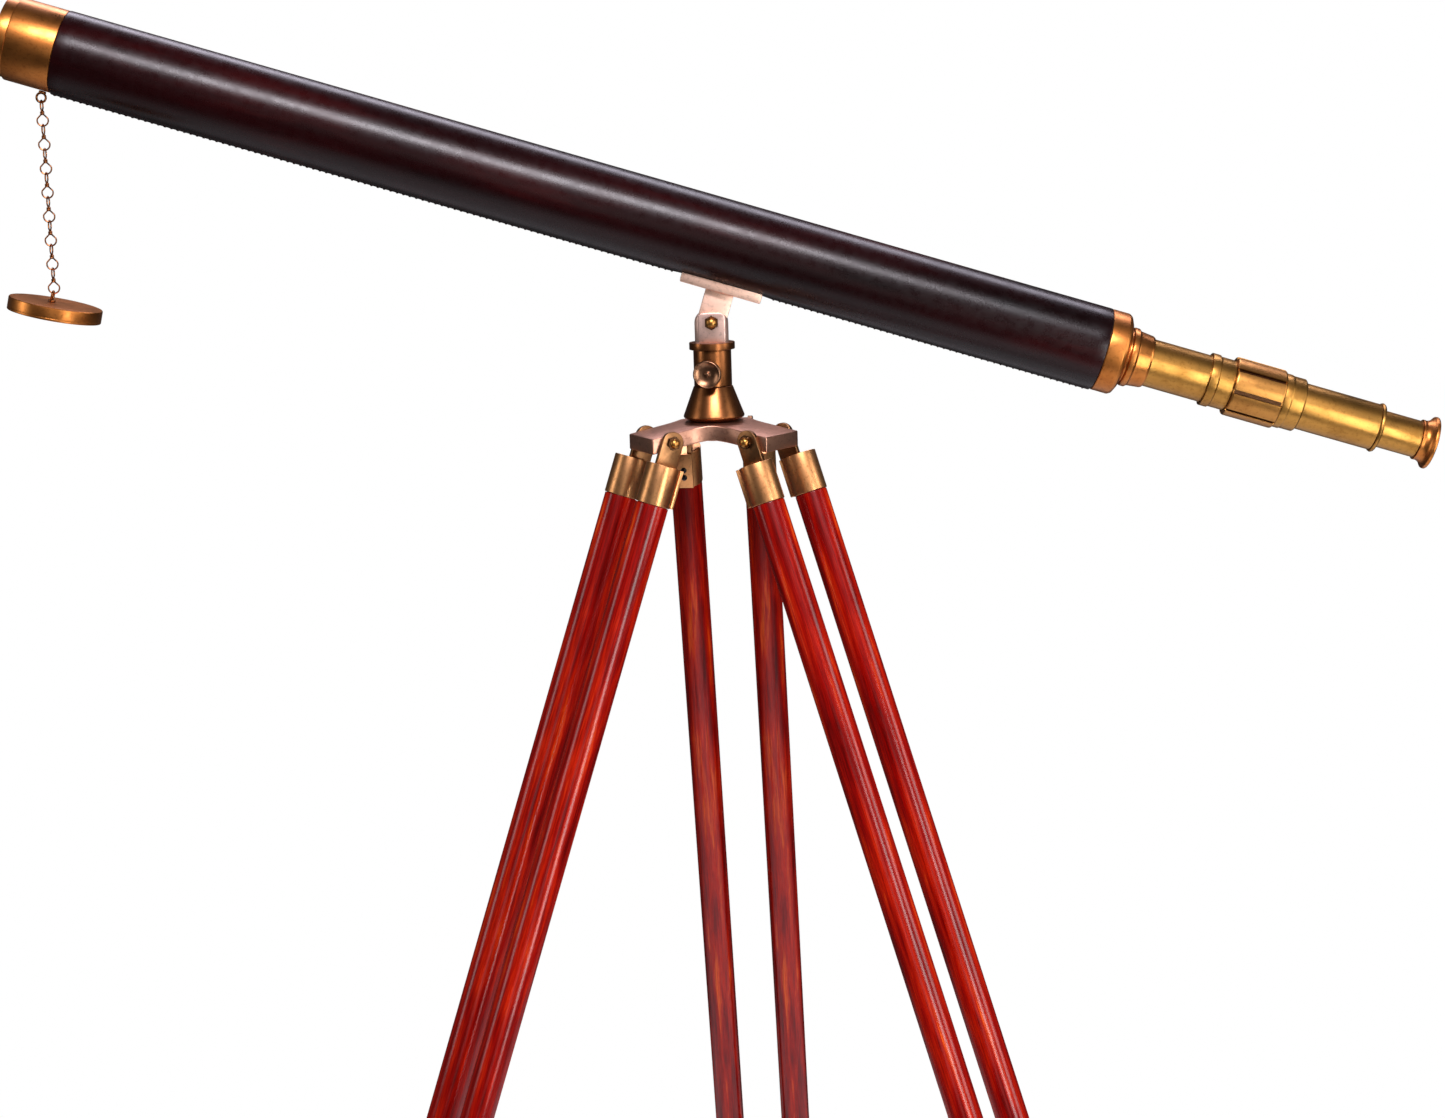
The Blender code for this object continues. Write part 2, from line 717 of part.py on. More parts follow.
def draw(slide):
    """Draw tube, coupling, grip, erector tube and the lenses that turn the picture upright."""
    stop = 26.2 * MM
    bore = DRAW_RADIUS - 1.1 * MM
    turned(
        "draw_tube",
        [
            (196 * MM, bore),
            (196 * MM, stop),
            (202 * MM, stop),
            (202 * MM, DRAW_RADIUS),
            (DRAW_END, DRAW_RADIUS),
            (DRAW_END, bore),
        ],
        slide,
        "gold_brass",
        "X",
        ROUND,
    )
    turned(
        "coupling_ring",
        [
            (344.5 * MM, DRAW_RADIUS + GAP),
            (344.5 * MM, 18.3 * MM),
            (345.3 * MM, 18.9 * MM),
            (350 * MM, 18.9 * MM),
            (351 * MM, 18.0 * MM),
            (BARREL_FRONT - GAP, 18.0 * MM),
            (BARREL_FRONT - GAP, bore),
            (DRAW_END + GAP, bore),
            (DRAW_END + GAP, DRAW_RADIUS + GAP),
        ],
        slide,
        "gold_brass",
        "X",
        ROUND,
    )
    new_object("focus_barrel", barrel_mesh("focus_barrel"), slide, "copper_brass")
    turned(
        "barrel_end_ring",
        [
            (BARREL_REAR + GAP, ERECTOR_RADIUS + GAP),
            (BARREL_REAR + GAP, 19.4 * MM),
            (403 * MM, 19.4 * MM),
            (404 * MM, 18.9 * MM),
            (412.6 * MM, 18.9 * MM),
            (END_RING_REAR, 18.0 * MM),
            (END_RING_REAR, ERECTOR_RADIUS + GAP),
        ],
        slide,
        "gold_brass",
        "X",
        ROUND,
    )
    turned(
        "erector_tube",
        tube_profile(BARREL_FRONT + 1 * MM, 469 * MM, ERECTOR_RADIUS, ERECTOR_RADIUS - 1 * MM),
        slide,
        "gold_brass",
        "X",
        ROUND,
    )
    turned(
        "eyepiece_collar",
        [
            (459 * MM, EYEPIECE_RADIUS + GAP),
            (459 * MM, ERECTOR_RADIUS - 1.3 * MM),
            (469.3 * MM, ERECTOR_RADIUS - 1.3 * MM),
            (469.3 * MM, 17.2 * MM),
            (470.6 * MM, 17.75 * MM),
            (BEAD_REAR, 17.0 * MM),
            (BEAD_REAR, EYEPIECE_RADIUS + GAP),
        ],
        slide,
        "gold_brass",
        "X",
        ROUND,
    )
    radius = ERECTOR_RADIUS - 1.3 * MM
    lens("erector_front_lens", slide, 368 * MM, 371 * MM, radius, 1.0 * MM, 1.0 * MM)
    lens("erector_rear_lens", slide, 404 * MM, 407 * MM, radius, 1.0 * MM, 1.0 * MM)


def eyepiece(slide):
    """Eyepiece tube, eyecup and the two eyepiece lenses."""
    bore = EYEPIECE_RADIUS - 1.2 * MM
    turned(
        "eyepiece_tube",
        tube_profile(436 * MM, EYECUP_FRONT - GAP, EYEPIECE_RADIUS, bore),
        slide,
        "gold_brass",
        "X",
        ROUND,
    )
    turned(
        "eyecup",
        [
            (EYECUP_FRONT, 9.5 * MM),
            (EYECUP_FRONT, 13.9 * MM),
            (EYECUP_FRONT + 0.6 * MM, 14.5 * MM),
            (EYECUP_FRONT + 2.2 * MM, 14.3 * MM),
            (EYECUP_FRONT + 4.5 * MM, 14.9 * MM),
            (EYECUP_FRONT + 6.6 * MM, 16.6 * MM),
            (EYECUP_FRONT + 8.0 * MM, 18.6 * MM),
            (EYECUP_REAR - 0.5 * MM, 18.75 * MM),
            (EYECUP_REAR, 18.2 * MM),
            (EYECUP_REAR - 0.8 * MM, 16.8 * MM),
            (EYECUP_FRONT + 5.5 * MM, 12.5 * MM),
            (EYECUP_FRONT + 2.5 * MM, 9.5 * MM),
        ],
        slide,
        "copper_brass",
        "X",
        ROUND,
    )
    radius = bore - GAP
    lens("field_lens", slide, 452 * MM, 455 * MM, radius, 1.2 * MM, 0.2 * MM)
    lens("eye_lens", slide, 495 * MM, 498 * MM, radius, 1.2 * MM, 0.2 * MM)


# ---------------------------------------------------------------- chain and cap


def to_plumb():
    """Rotation that undoes the telescope's elevation, so that a piece hangs plumb."""
    return Matrix.Rotation(-ELEVATION, 4, "Y")


def chain_rings(name, parent, first_axis, drop):
    """A row of small rings, each fused to the next and turned a quarter turn from it."""
    axes = ("X", "Y") if first_axis == "X" else ("Y", "X")
    chain = None
    for i in range(CHAIN_RINGS):
        place = (0, 0, drop - 2 * RING_RADIUS * i)
        label = name if i == 0 else f"{name}_ring_{i}"
        ring = torus_mesh(label, RING_RADIUS, WIRE_RADIUS, axes[i % 2], place)
        if chain is None:
            chain = new_object(name, ring, parent, "brown_brass")
        else:
            combine(chain, ring, "UNION")
    return chain


def chain_and_cap(tube, tilt):
    """The chain's two lengths, the lens cap on it, and the eyelets at both ends."""
    clear = 2 * WIRE_RADIUS + GAP
    place = -486.5 * MM
    stud = AXIS_RISE - 28.9 * MM - GAP
    centre = stud - 1.4 * MM - EYELET_RADIUS
    eyelet = turned(
        "chain_eyelet",
        [
            (0, 0),
            (0, 2.6 * MM),
            (-1.4 * MM, 2.6 * MM),
            (-1.4 * MM, 0),
        ],
        empty("chain_eyelet_place", tilt, Matrix.Translation((place, 0, stud))),
        "brown_brass",
        segments=SMALL,
    )
    loop = torus_mesh(
        "chain_eyelet_loop", EYELET_RADIUS, WIRE_RADIUS, "Y", (0, 0, centre - stud), SMALL
    )
    combine(eyelet, loop, "UNION")
    upper = empty(
        "chain_upper_joint", tilt, Matrix.Translation((place, 0, centre)) @ to_plumb()
    )
    drop = -EYELET_RADIUS + clear - RING_RADIUS
    chain_rings("chain_upper", upper, "X", drop)
    last = drop - 2 * RING_RADIUS * (CHAIN_RINGS - 1)
    lower = empty("chain_lower_joint", upper, Matrix.Translation((0, 0, last)))
    drop = -RING_RADIUS + clear - RING_RADIUS
    chain_rings("chain_lower", lower, "X", drop)
    last = drop - 2 * RING_RADIUS * (CHAIN_RINGS - 1)
    tip = Matrix.Rotation(CAP_TIP, 4, "Y")
    cap_joint = empty("cap_joint", lower, Matrix.Translation((0, 0, last)) @ tip)
    ring = -RING_RADIUS + clear - EYELET_RADIUS
    top = ring - EYELET_RADIUS - 1.2 * MM
    hook = turned(
        "cap_eyelet",
        [
            (top + GAP, 0),
            (top + GAP, 2.6 * MM),
            (top + 1.4 * MM, 2.6 * MM),
            (top + 1.4 * MM, 0),
        ],
        cap_joint,
        "brown_brass",
        segments=SMALL,
    )
    loop = torus_mesh("cap_eyelet_loop", EYELET_RADIUS, WIRE_RADIUS, "X", (0, 0, ring), SMALL)
    combine(hook, loop, "UNION")
    inner = CAP_RADIUS - CAP_WALL
    turned(
        "lens_cap",
        [
            (top, 0),
            (top, CAP_RADIUS - 1.2 * MM),
            (top - 0.4 * MM, CAP_RADIUS - 0.4 * MM),
            (top - 1.2 * MM, CAP_RADIUS),
            (top - CAP_DEPTH, CAP_RADIUS),
            (top - CAP_DEPTH, inner),
            (top - CAP_WALL, inner),
            (top - CAP_WALL, 0),
        ],
        cap_joint,
        "copper_brass",
        "Z",
        ROUND,
        (CAP_OFFSET, 0, 0),
    )


# ---------------------------------------------------------------- legs


def leg_matrix(azimuth):
    """Frame of a leg: origin on its hinge bolt, Y along the bolt and Z up the leg."""
    spin = Matrix.Rotation(math.radians(azimuth), 4, "Z")
    place = Matrix.Translation((BOLT_CIRCLE, 0, BOLT_LEVEL))
    return spin @ place @ Matrix.Rotation(-LEG_SPREAD, 4, "Y")


def ferrule(name, leg, side):
    """A rod's top ferrule, with the pad and the ear that hold it to the hub's arm."""
    centre = (ROD_OFFSET, side * ROD_SPACING, 0)
    bore = TENON_RADIUS + GAP
    cup = turned(
        name,
        [
            (-FERRULE_TOP, 0),
            (-FERRULE_TOP, FERRULE_RADIUS - 0.6 * MM),
            (-FERRULE_TOP - 0.6 * MM, FERRULE_RADIUS),
            (-FERRULE_END + 0.4 * MM, FERRULE_RADIUS),
            (-FERRULE_END, FERRULE_RADIUS - 0.4 * MM),
            (-FERRULE_END, bore),
            (-FERRULE_TOP - 3 * MM, bore),
            (-FERRULE_TOP - 3 * MM, 0),
        ],
        leg,
        "gold_brass",
        at=centre,
    )
    pad_half = 6.5 * MM
    pad = [
        (-9.4 * MM, side * ROD_SPACING - pad_half),
        (ROD_OFFSET - 10.6 * MM, side * ROD_SPACING - pad_half),
        (ROD_OFFSET - 10.6 * MM, side * ROD_SPACING + pad_half),
        (-9.4 * MM, side * ROD_SPACING + pad_half),
    ]
    pad_low = -FERRULE_END + 0.5 * MM
    combine(cup, prism_mesh(f"{name}_pad", pad, pad_low, -FERRULE_TOP - 0.2 * MM), "UNION")
    near = side * EAR_INNER
    far = side * (EAR_INNER + EAR_THICKNESS)
    outline = [(-EAR_HALF, -FERRULE_TOP - 1.0 * MM), (EAR_HALF, -FERRULE_TOP - 1.0 * MM)]
    outline += arc(0, 0, EAR_HALF, 0, 180, 10)
    ear = prism_mesh(f"{name}_ear", outline, min(near, far), max(near, far), "Y")
    combine(cup, ear, "UNION")
    hole = hole_profile(-8 * MM, 8 * MM, BORE_RADIUS)
    combine(cup, turned_mesh(f"{name}_hole", hole, "Y", SMALL, (0, near, 0)), "DIFFERENCE")
    return cup


def clamp(name, leg):
    """The casting that ties the two upper rods and grips the lower rod."""
    bore = ROD_RADIUS + GAP
    middle = bore + 3.2 * MM
    socket = bore + 2.6 * MM
    neck = 6 * MM
    low = -CLAMP_END
    high = -CLAMP_TOP
    a = math.degrees(math.acos(neck / middle))
    b = math.degrees(math.acos(neck / socket))
    outline = arc(ROD_OFFSET, 0, middle, -a, a, 4)
    outline += arc(ROD_OFFSET, ROD_SPACING, socket, -b, 180 + b, 12)
    outline += arc(ROD_OFFSET, 0, middle, 180 - a, 180 + a, 4)
    outline += arc(ROD_OFFSET, -ROD_SPACING, socket, 180 - b, 360 + b, 12)
    body = new_object(name, prism_mesh(name, outline, low, high), leg, "gold_brass")
    boss = hole_profile(12.5 * MM, 19 * MM, 6 * MM)
    boss = turned_mesh(f"{name}_boss", boss, "X", SMALL, (ROD_OFFSET, 0, -CLAMP_LOCK))
    combine(body, boss, "UNION")
    for side in (-1, 1):
        centre = (ROD_OFFSET, side * ROD_SPACING, 0)
        hole = hole_profile(-UPPER_ROD_END - GAP, high + 5 * MM, bore)
        combine(body, turned_mesh(f"{name}_bore_{side}", hole, at=centre), "DIFFERENCE")
    hole = hole_profile(low - 5 * MM, high + 5 * MM, bore)
    combine(body, turned_mesh(f"{name}_bore", hole, at=(ROD_OFFSET, 0, 0)), "DIFFERENCE")
    hole = hole_profile(5 * MM, 25 * MM, 2.8 * MM)
    thread = turned_mesh(f"{name}_thread", hole, "X", SMALL, (ROD_OFFSET, 0, -CLAMP_LOCK))
    combine(body, thread, "DIFFERENCE")
    return body


def foot(name, slide, slide_world):
    """The brass foot, trimmed level where it meets the floor."""
    bore = TENON_RADIUS + GAP
    mesh = turned_mesh(
        name,
        [
            (-FOOT_TOP, bore),
            (-FOOT_TOP, 12.0 * MM),
            (-FOOT_TOP - 0.5 * MM, 12.5 * MM),
            (-FOOT_TOP - 5 * MM, 12.5 * MM),
            (-FOOT_TOP - 5.5 * MM, 12.0 * MM),
            (-LOWER_ROD_END - 4 * MM, 12.0 * MM),
            (-LOWER_ROD_END - 8 * MM, 10.8 * MM),
            (-FOOT_TIP, 5.0 * MM),
            (-FOOT_TIP, 0),
            (-LOWER_ROD_END - GAP, 0),
            (-LOWER_ROD_END - GAP, bore),
        ],
        at=(ROD_OFFSET, 0, 0),
    )
    bm = bmesh.new()
    bm.from_mesh(mesh)
    to_local = slide_world.inverted()
    place = to_local @ Vector((0, 0, 0))
    normal = to_local.to_3x3() @ Vector((0, 0, -1))
    geometry = bm.verts[:] + bm.edges[:] + bm.faces[:]
    cut = bmesh.ops.bisect_plane(
        bm, geom=geometry, plane_co=place, plane_no=normal, clear_outer=True, dist=1e-7
    )
    edges = [item for item in cut["geom_cut"] if isinstance(item, bmesh.types.BMEdge)]
    bmesh.ops.edgeloop_fill(bm, edges=edges)
    return new_object(name, finish_mesh(name, bm), slide, "gold_brass")


def leg(letter, azimuth, stand):
    """One leg with its two upper rods, clamp, lower rod, foot and fittings."""
    prefix = f"leg_{letter}"
    hinge = empty(f"{prefix}_hinge", stand, leg_matrix(azimuth))
    grip = 2 * (EAR_INNER + EAR_THICKNESS + GAP)
    bolt = bolt_profile(grip, BOLT_RADIUS, 4.2 * MM, 2.4 * MM, 2.8 * MM)
    seat = empty(f"{prefix}_bolt_place", stand, leg_matrix(azimuth))
    turned(f"{prefix}_bolt", bolt, seat, "gold_brass", "Y", SMALL)
    for side, word in ((-1, "left"), (1, "right")):
        ferrule(f"{prefix}_ferrule_{word}", hinge, side)
        centre = (ROD_OFFSET, side * ROD_SPACING, 0)
        turned(
            f"{prefix}_rod_{word}",
            [
                (-FERRULE_TOP - 3.3 * MM, 0),
                (-FERRULE_TOP - 3.3 * MM, TENON_RADIUS),
                (-FERRULE_END - GAP, TENON_RADIUS),
                (-FERRULE_END - GAP, ROD_RADIUS),
                (-UPPER_ROD_END, ROD_RADIUS),
                (-UPPER_ROD_END, 0),
            ],
            hinge,
            "mahogany",
            at=centre,
        )
    clamp(f"{prefix}_clamp", hinge)
    knob = empty(f"{prefix}_lock_joint", hinge, Matrix.Translation((ROD_OFFSET, 0, -CLAMP_LOCK)))
    start = 19.5 * MM
    profile = knob_profile(ROD_RADIUS + 1.0 * MM, start, start + 5.5 * MM, 2.5 * MM, 8.5 * MM)
    turned(f"{prefix}_lock_knob", profile, knob, "rose_brass", "X", SMALL)
    slide = empty(f"{prefix}_slide", hinge)
    turned(
        f"{prefix}_lower_rod",
        [
            (-LOWER_ROD_TOP, 0),
            (-LOWER_ROD_TOP, ROD_RADIUS - 1.5 * MM),
            (-LOWER_ROD_TOP - 1.5 * MM, ROD_RADIUS),
            (-FOOT_TOP + GAP, ROD_RADIUS),
            (-FOOT_TOP + GAP, TENON_RADIUS),
            (-LOWER_ROD_END, TENON_RADIUS),
            (-LOWER_ROD_END, 0),
        ],
        slide,
        "mahogany",
        at=(ROD_OFFSET, 0, 0),
    )
    world = Matrix.Translation((STAND_X, STAND_Y, PIVOT_HEIGHT)) @ leg_matrix(azimuth)
    foot(f"{prefix}_foot", slide, world)


def main():
    """Build every piece of the telescope and its stand."""
    clear_scene()
    stand = empty("stand", None, Matrix.Translation((STAND_X, STAND_Y, PIVOT_HEIGHT)))
    stand_head(stand)
    azimuth_lock(stand)
    swivel = empty("swivel_joint", stand)
    tilt_head(swivel)
    tilt = empty("tilt_joint", swivel, Matrix.Rotation(ELEVATION, 4, "Y"))
    tube = axis_parent("telescope_axis", tilt)
    saddle(tilt)
    main_body(tube)
    objective(tube)
    draw_slide = axis_parent("draw_joint", tilt)
    draw(draw_slide)
    eyepiece(empty("eyepiece_joint", draw_slide))
    chain_and_cap(tube, tilt)
    for letter, azimuth in LEG_AZIMUTHS.items():
        leg(letter, azimuth, stand)


main()
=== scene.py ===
"""Looks of a leather-covered brass telescope on a three-legged wooden stand.

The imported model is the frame: it gives every body, slot and bound. Each of its nodes is made
again here, turned or cut with fine, softly rounded corners, and the leather's stitches, the
chain's links and the ferrules' small screws are added.
"""

import json
import logging
import math
from collections.abc import Callable, Sequence
from dataclasses import dataclass, field
from enum import Enum

import bmesh
import bpy
from mathutils import Matrix, Vector

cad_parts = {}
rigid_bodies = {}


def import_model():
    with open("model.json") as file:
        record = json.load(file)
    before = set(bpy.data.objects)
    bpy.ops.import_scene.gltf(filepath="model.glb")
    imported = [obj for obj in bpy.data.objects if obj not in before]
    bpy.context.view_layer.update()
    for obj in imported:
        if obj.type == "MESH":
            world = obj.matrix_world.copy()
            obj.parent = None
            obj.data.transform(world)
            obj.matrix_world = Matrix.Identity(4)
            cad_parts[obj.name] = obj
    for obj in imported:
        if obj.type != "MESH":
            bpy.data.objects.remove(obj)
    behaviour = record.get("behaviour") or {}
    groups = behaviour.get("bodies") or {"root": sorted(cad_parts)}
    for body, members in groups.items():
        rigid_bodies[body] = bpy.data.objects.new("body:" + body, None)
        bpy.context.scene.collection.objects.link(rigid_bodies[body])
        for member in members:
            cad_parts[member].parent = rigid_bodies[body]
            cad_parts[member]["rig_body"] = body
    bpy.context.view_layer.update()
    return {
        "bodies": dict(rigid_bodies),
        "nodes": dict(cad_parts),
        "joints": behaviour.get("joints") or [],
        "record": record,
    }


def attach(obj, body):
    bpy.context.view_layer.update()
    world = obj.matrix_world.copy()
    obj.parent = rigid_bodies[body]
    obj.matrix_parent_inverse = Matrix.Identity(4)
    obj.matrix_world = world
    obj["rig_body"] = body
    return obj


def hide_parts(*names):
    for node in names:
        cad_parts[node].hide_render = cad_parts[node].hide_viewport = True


MM = 0.001

# Sizes in millimetres that pieces of different sub-assemblies share.
FIT_GAP = 0.3
BOLT_RADIUS = 3.0
BOLT_HOLE = BOLT_RADIUS + FIT_GAP
LOCK_HOLE = 2.8

LOG = logging.getLogger("telescope")
Outline = list[tuple[float, float]]
Colour = tuple[float, float, float]
Shape = Callable[[float, float, float], float]
Value = bpy.types.NodeSocket | float | Sequence[float]


# ---------------------------------------------------------------- shader helpers


class Graph:
    """A material's node tree, with short calls for adding and joining nodes."""

    def __init__(self, name: str) -> None:
        """Start a material whose surface is one Principled shader.

        Args:
            name: The material's name.
        """
        self.material = bpy.data.materials.new(name)
        self.material.use_nodes = True
        self.tree = self.material.node_tree
        self.shader = self.tree.nodes["Principled BSDF"]

    def add(self, kind: str, inputs: dict | None = None, **settings: object) -> bpy.types.Node:
        """Add a node.

        Args:
            kind: The node's type, without its ShaderNode prefix.
            inputs: Socket name or number to a value, or to the output that feeds it.
            settings: Attributes of the node itself.

        Returns:
            The new node.
        """
        node = self.tree.nodes.new(f"ShaderNode{kind}")
        for key, value in settings.items():
            setattr(node, key, value)
        for key, value in (inputs or {}).items():
            self.feed(node.inputs[key], value)
        return node

    def feed(self, socket: bpy.types.NodeSocket, value: Value) -> None:
        """Set a socket to a value, or join an output to it.

        Args:
            socket: The input to set.
            value: The number or colour, or the output that feeds it.
        """
        if isinstance(value, bpy.types.NodeSocket):
            self.tree.links.new(value, socket)
        else:
            socket.default_value = value

    def surface(self, **inputs: Value) -> None:
        """Set the shader's sockets, given with _ for each space in their names."""
        for key, value in inputs.items():
            self.feed(self.shader.inputs[key.replace("_", " ")], value)

    def seated(self, seat: Matrix, scale: Sequence[float] = (1, 1, 1)) -> bpy.types.NodeSocket:
        """Object coordinates measured in a seat's own frame.

        Args:
            seat: The frame that the pattern is laid out in.
            scale: How much the pattern is drawn out along each of the frame's axes.

        Returns:
            The output that holds the coordinates.
        """
        source = self.add("TexCoord").outputs["Object"]
        inputs = {
            "Vector": source,
            "Location": seat.translation,
            "Rotation": seat.to_euler(),
            "Scale": scale,
        }
        return self.add("Mapping", inputs, vector_type="TEXTURE").outputs[0]

    def noise(
        self, vector: bpy.types.NodeSocket, scale: float, detail: float = 4.0, rough: float = 0.55
    ) -> bpy.types.NodeSocket:
        """Soft noise, about 0 to 1, in cycles for each metre."""
        inputs = {"Vector": vector, "Scale": scale, "Detail": detail, "Roughness": rough}
        return self.add("TexNoise", inputs).outputs["Fac"]

    def ramp(self, value: bpy.types.NodeSocket, stops: Sequence[tuple]) -> bpy.types.NodeSocket:
        """Turn a value into a colour through (place, colour) stops.

        Args:
            value: The output to colour.
            stops: Places from 0 to 1, each with its colour.

        Returns:
            The colour's output.
        """
        node = self.add("ValToRGB", {"Fac": value})
        elements = node.color_ramp.elements
        while len(elements) < len(stops):
            elements.new(0.5)
        for element, (place, colour) in zip(elements, stops):
            element.position = place
            element.color = (*colour, 1.0)
        return node.outputs["Color"]

    def spread(self, value: bpy.types.NodeSocket, low: float, high: float) -> bpy.types.NodeSocket:
        """Map the middle of a noise's range to the numbers from low to high."""
        inputs = {"Value": value, "From Min": 0.3, "From Max": 0.7, "To Min": low, "To Max": high}
        return self.add("MapRange", inputs).outputs["Result"]

    def mixed(
        self, factor: Value, first: Value, second: Value, blend: str = "MIX"
    ) -> bpy.types.NodeSocket:
        """Mix two colours.

        Args:
            factor: How much of the second colour there is.
            first: The colour at 0.
            second: The colour at 1.
            blend: How the second colour is laid over the first.

        Returns:
            The mixed colour's output.
        """
        node = self.add("Mix", data_type="RGBA", blend_type=blend)
        self.feed(node.inputs[0], factor)
        self.feed(node.inputs[6], first)
        self.feed(node.inputs[7], second)
        return node.outputs[2]

    def bump(
        self,
        height: bpy.types.NodeSocket,
        depth: float,
        strength: float = 1.0,
        under: bpy.types.NodeSocket | None = None,
    ) -> bpy.types.NodeSocket:
        """Turn a height into a normal, on top of an earlier normal if there is one.

        Args:
            height: The output that holds the height, 0 to 1.
            depth: How deep a height of 1 is, in metres.
            strength: How much of the bump is used.
            under: A normal that the bump is laid over.

        Returns:
            The normal's output.
        """
        inputs = {"Height": height, "Distance": depth, "Strength": strength}
        if under is not None:
            inputs["Normal"] = under
        return self.add("Bump", inputs).outputs["Normal"]


@dataclass(frozen=True)
class Brass:
    """Lacquered old brass that was turned on a lathe or cast."""

    name: str
    bright: Colour
    deep: Colour
    stain: Colour
    roughness: float = 0.26
    turned: bool = True

    def material(self, seat: Matrix) -> bpy.types.Material:
        """Make the brass for pieces whose turning axis is a seat's Z.

        Args:
            seat: The frame that the tool marks run round.

        Returns:
            The material.
        """
        graph = Graph(self.name)
        place = graph.seated(seat)
        cloud = graph.noise(place, 38, 5, 0.6)
        speck = graph.noise(place, 420, 3, 0.6)
        colour = graph.ramp(cloud, [(0.30, self.deep), (0.52, self.bright), (0.80, self.bright)])
        spots = graph.ramp(speck, [(0.34, (1, 1, 1)), (0.46, (0, 0, 0))])
        stained = graph.mixed(spots, (*self.bright, 1.0), (*self.stain, 1.0))
        colour = graph.mixed(0.28, colour, stained)
        roughness = graph.spread(cloud, self.roughness + 0.10, self.roughness - 0.04)
        if self.turned:
            marks = graph.noise(graph.seated(seat, (30, 30, 1)), 1500, 2, 0.5)
            depth = 0.004 * MM
        else:
            marks = graph.noise(place, 700, 4, 0.6)
            depth = 0.03 * MM
        normal = graph.bump(marks, depth)
        normal = graph.bump(cloud, 0.005 * MM, 0.5, normal)
        graph.surface(Base_Color=colour, Metallic=1.0, Roughness=roughness, Normal=normal)
        return graph.material


@dataclass(frozen=True)
class Leather:
    """Dark polished leather, drawn tight over a tube."""

    name: str = "oxblood_leather"

    def material(self, seat: Matrix) -> bpy.types.Material:
        """Make the leather.

        Args:
            seat: The frame on the axis of the tube.

        Returns:
            The material.
        """
        graph = Graph(self.name)
        place = graph.seated(seat)
        drawn = graph.seated(seat, (1, 1, 6))
        cloud = graph.noise(drawn, 30, 4, 0.6)
        colour = graph.ramp(
            cloud,
            [
                (0.30, (0.002, 0.0002, 0.0003)), (0.55, (0.009, 0.0004, 0.0007)),
                (0.75, (0.026, 0.0013, 0.0015)),
            ],
        )
        grain = {"Vector": place, "Scale": 950.0}
        cells = graph.add("TexVoronoi", grain, feature="DISTANCE_TO_EDGE")
        creases = graph.add(
            "MapRange", {"Value": cells.outputs["Distance"], "From Max": 0.25}
        ).outputs["Result"]
        pores = graph.noise(place, 2600, 2, 0.5)
        crease_normal = graph.bump(creases, 0.018 * MM, 0.7)
        normal = graph.bump(pores, 0.012 * MM, 0.6, crease_normal)
        normal = graph.bump(cloud, 0.25 * MM, 0.6, normal)
        roughness = graph.spread(graph.noise(place, 140, 4, 0.6), 0.24, 0.33)
        graph.surface(
            Base_Color=colour,
            Roughness=roughness,
            Normal=normal,
            Specular_IOR_Level=0.22,
        )
        return graph.material


@dataclass(frozen=True)
class Mahogany:
    """Red-stained wood under thick gloss varnish, with its grain along a rod."""

    name: str

    def material(self, seat: Matrix) -> bpy.types.Material:
        """Make the wood, with the grain along a seat's Z.

        Args:
            seat: The rod's frame.

        Returns:
            The material.
        """
        graph = Graph(self.name)
        bands = graph.noise(graph.seated(seat, (1, 1, 14)), 150, 5, 0.6)
        fibres = graph.noise(graph.seated(seat, (1, 1, 60)), 1500, 3, 0.6)
        pores = graph.noise(graph.seated(seat, (1, 1, 25)), 2300, 2, 0.5)
        colour = graph.ramp(
            bands,
            [
                (0.30, (0.085, 0.0004, 0.0004)), (0.45, (0.22, 0.0015, 0.0005)),
                (0.58, (0.38, 0.010, 0.001)), (0.70, (0.62, 0.075, 0.006)),
            ],
        )
        streak = graph.ramp(fibres, [(0.35, (0.45, 0.35, 0.35)), (0.6, (1, 1, 1))])
        colour = graph.mixed(0.75, colour, streak, "MULTIPLY")
        dark = graph.ramp(pores, [(0.32, (0.35, 0.25, 0.25)), (0.40, (1, 1, 1))])
        colour = graph.mixed(0.5, colour, dark, "MULTIPLY")
        ripple = graph.noise(graph.seated(seat, (1, 1, 3)), 260, 3, 0.5)
        normal = graph.bump(fibres, 0.02 * MM, 0.5)
        coat = graph.bump(fibres, 0.006 * MM)
        coat = graph.bump(ripple, 0.03 * MM, 0.5, coat)
        graph.surface(
            Base_Color=colour,
            Roughness=0.42,
            Specular_IOR_Level=0.0,
            Normal=normal,
            Coat_Weight=0.65,
            Coat_Roughness=0.20,
            Coat_Normal=coat,
        )
        return graph.material


@dataclass(frozen=True)
class Glass:
    """Coated lens glass."""

    name: str = "lens_glass"

    def material(self, seat: Matrix) -> bpy.types.Material:
        """Make the glass, with faint wiping marks.

        Args:
            seat: The lens's frame.

        Returns:
            The material.
        """
        graph = Graph(self.name)
        smear = graph.noise(graph.seated(seat), 120, 4, 0.6)
        graph.surface(
            Base_Color=(0.93, 0.96, 0.95, 1.0),
            Roughness=graph.spread(smear, 0.0, 0.03),
            Transmission_Weight=1.0,
            IOR=1.52,
        )
        return graph.material


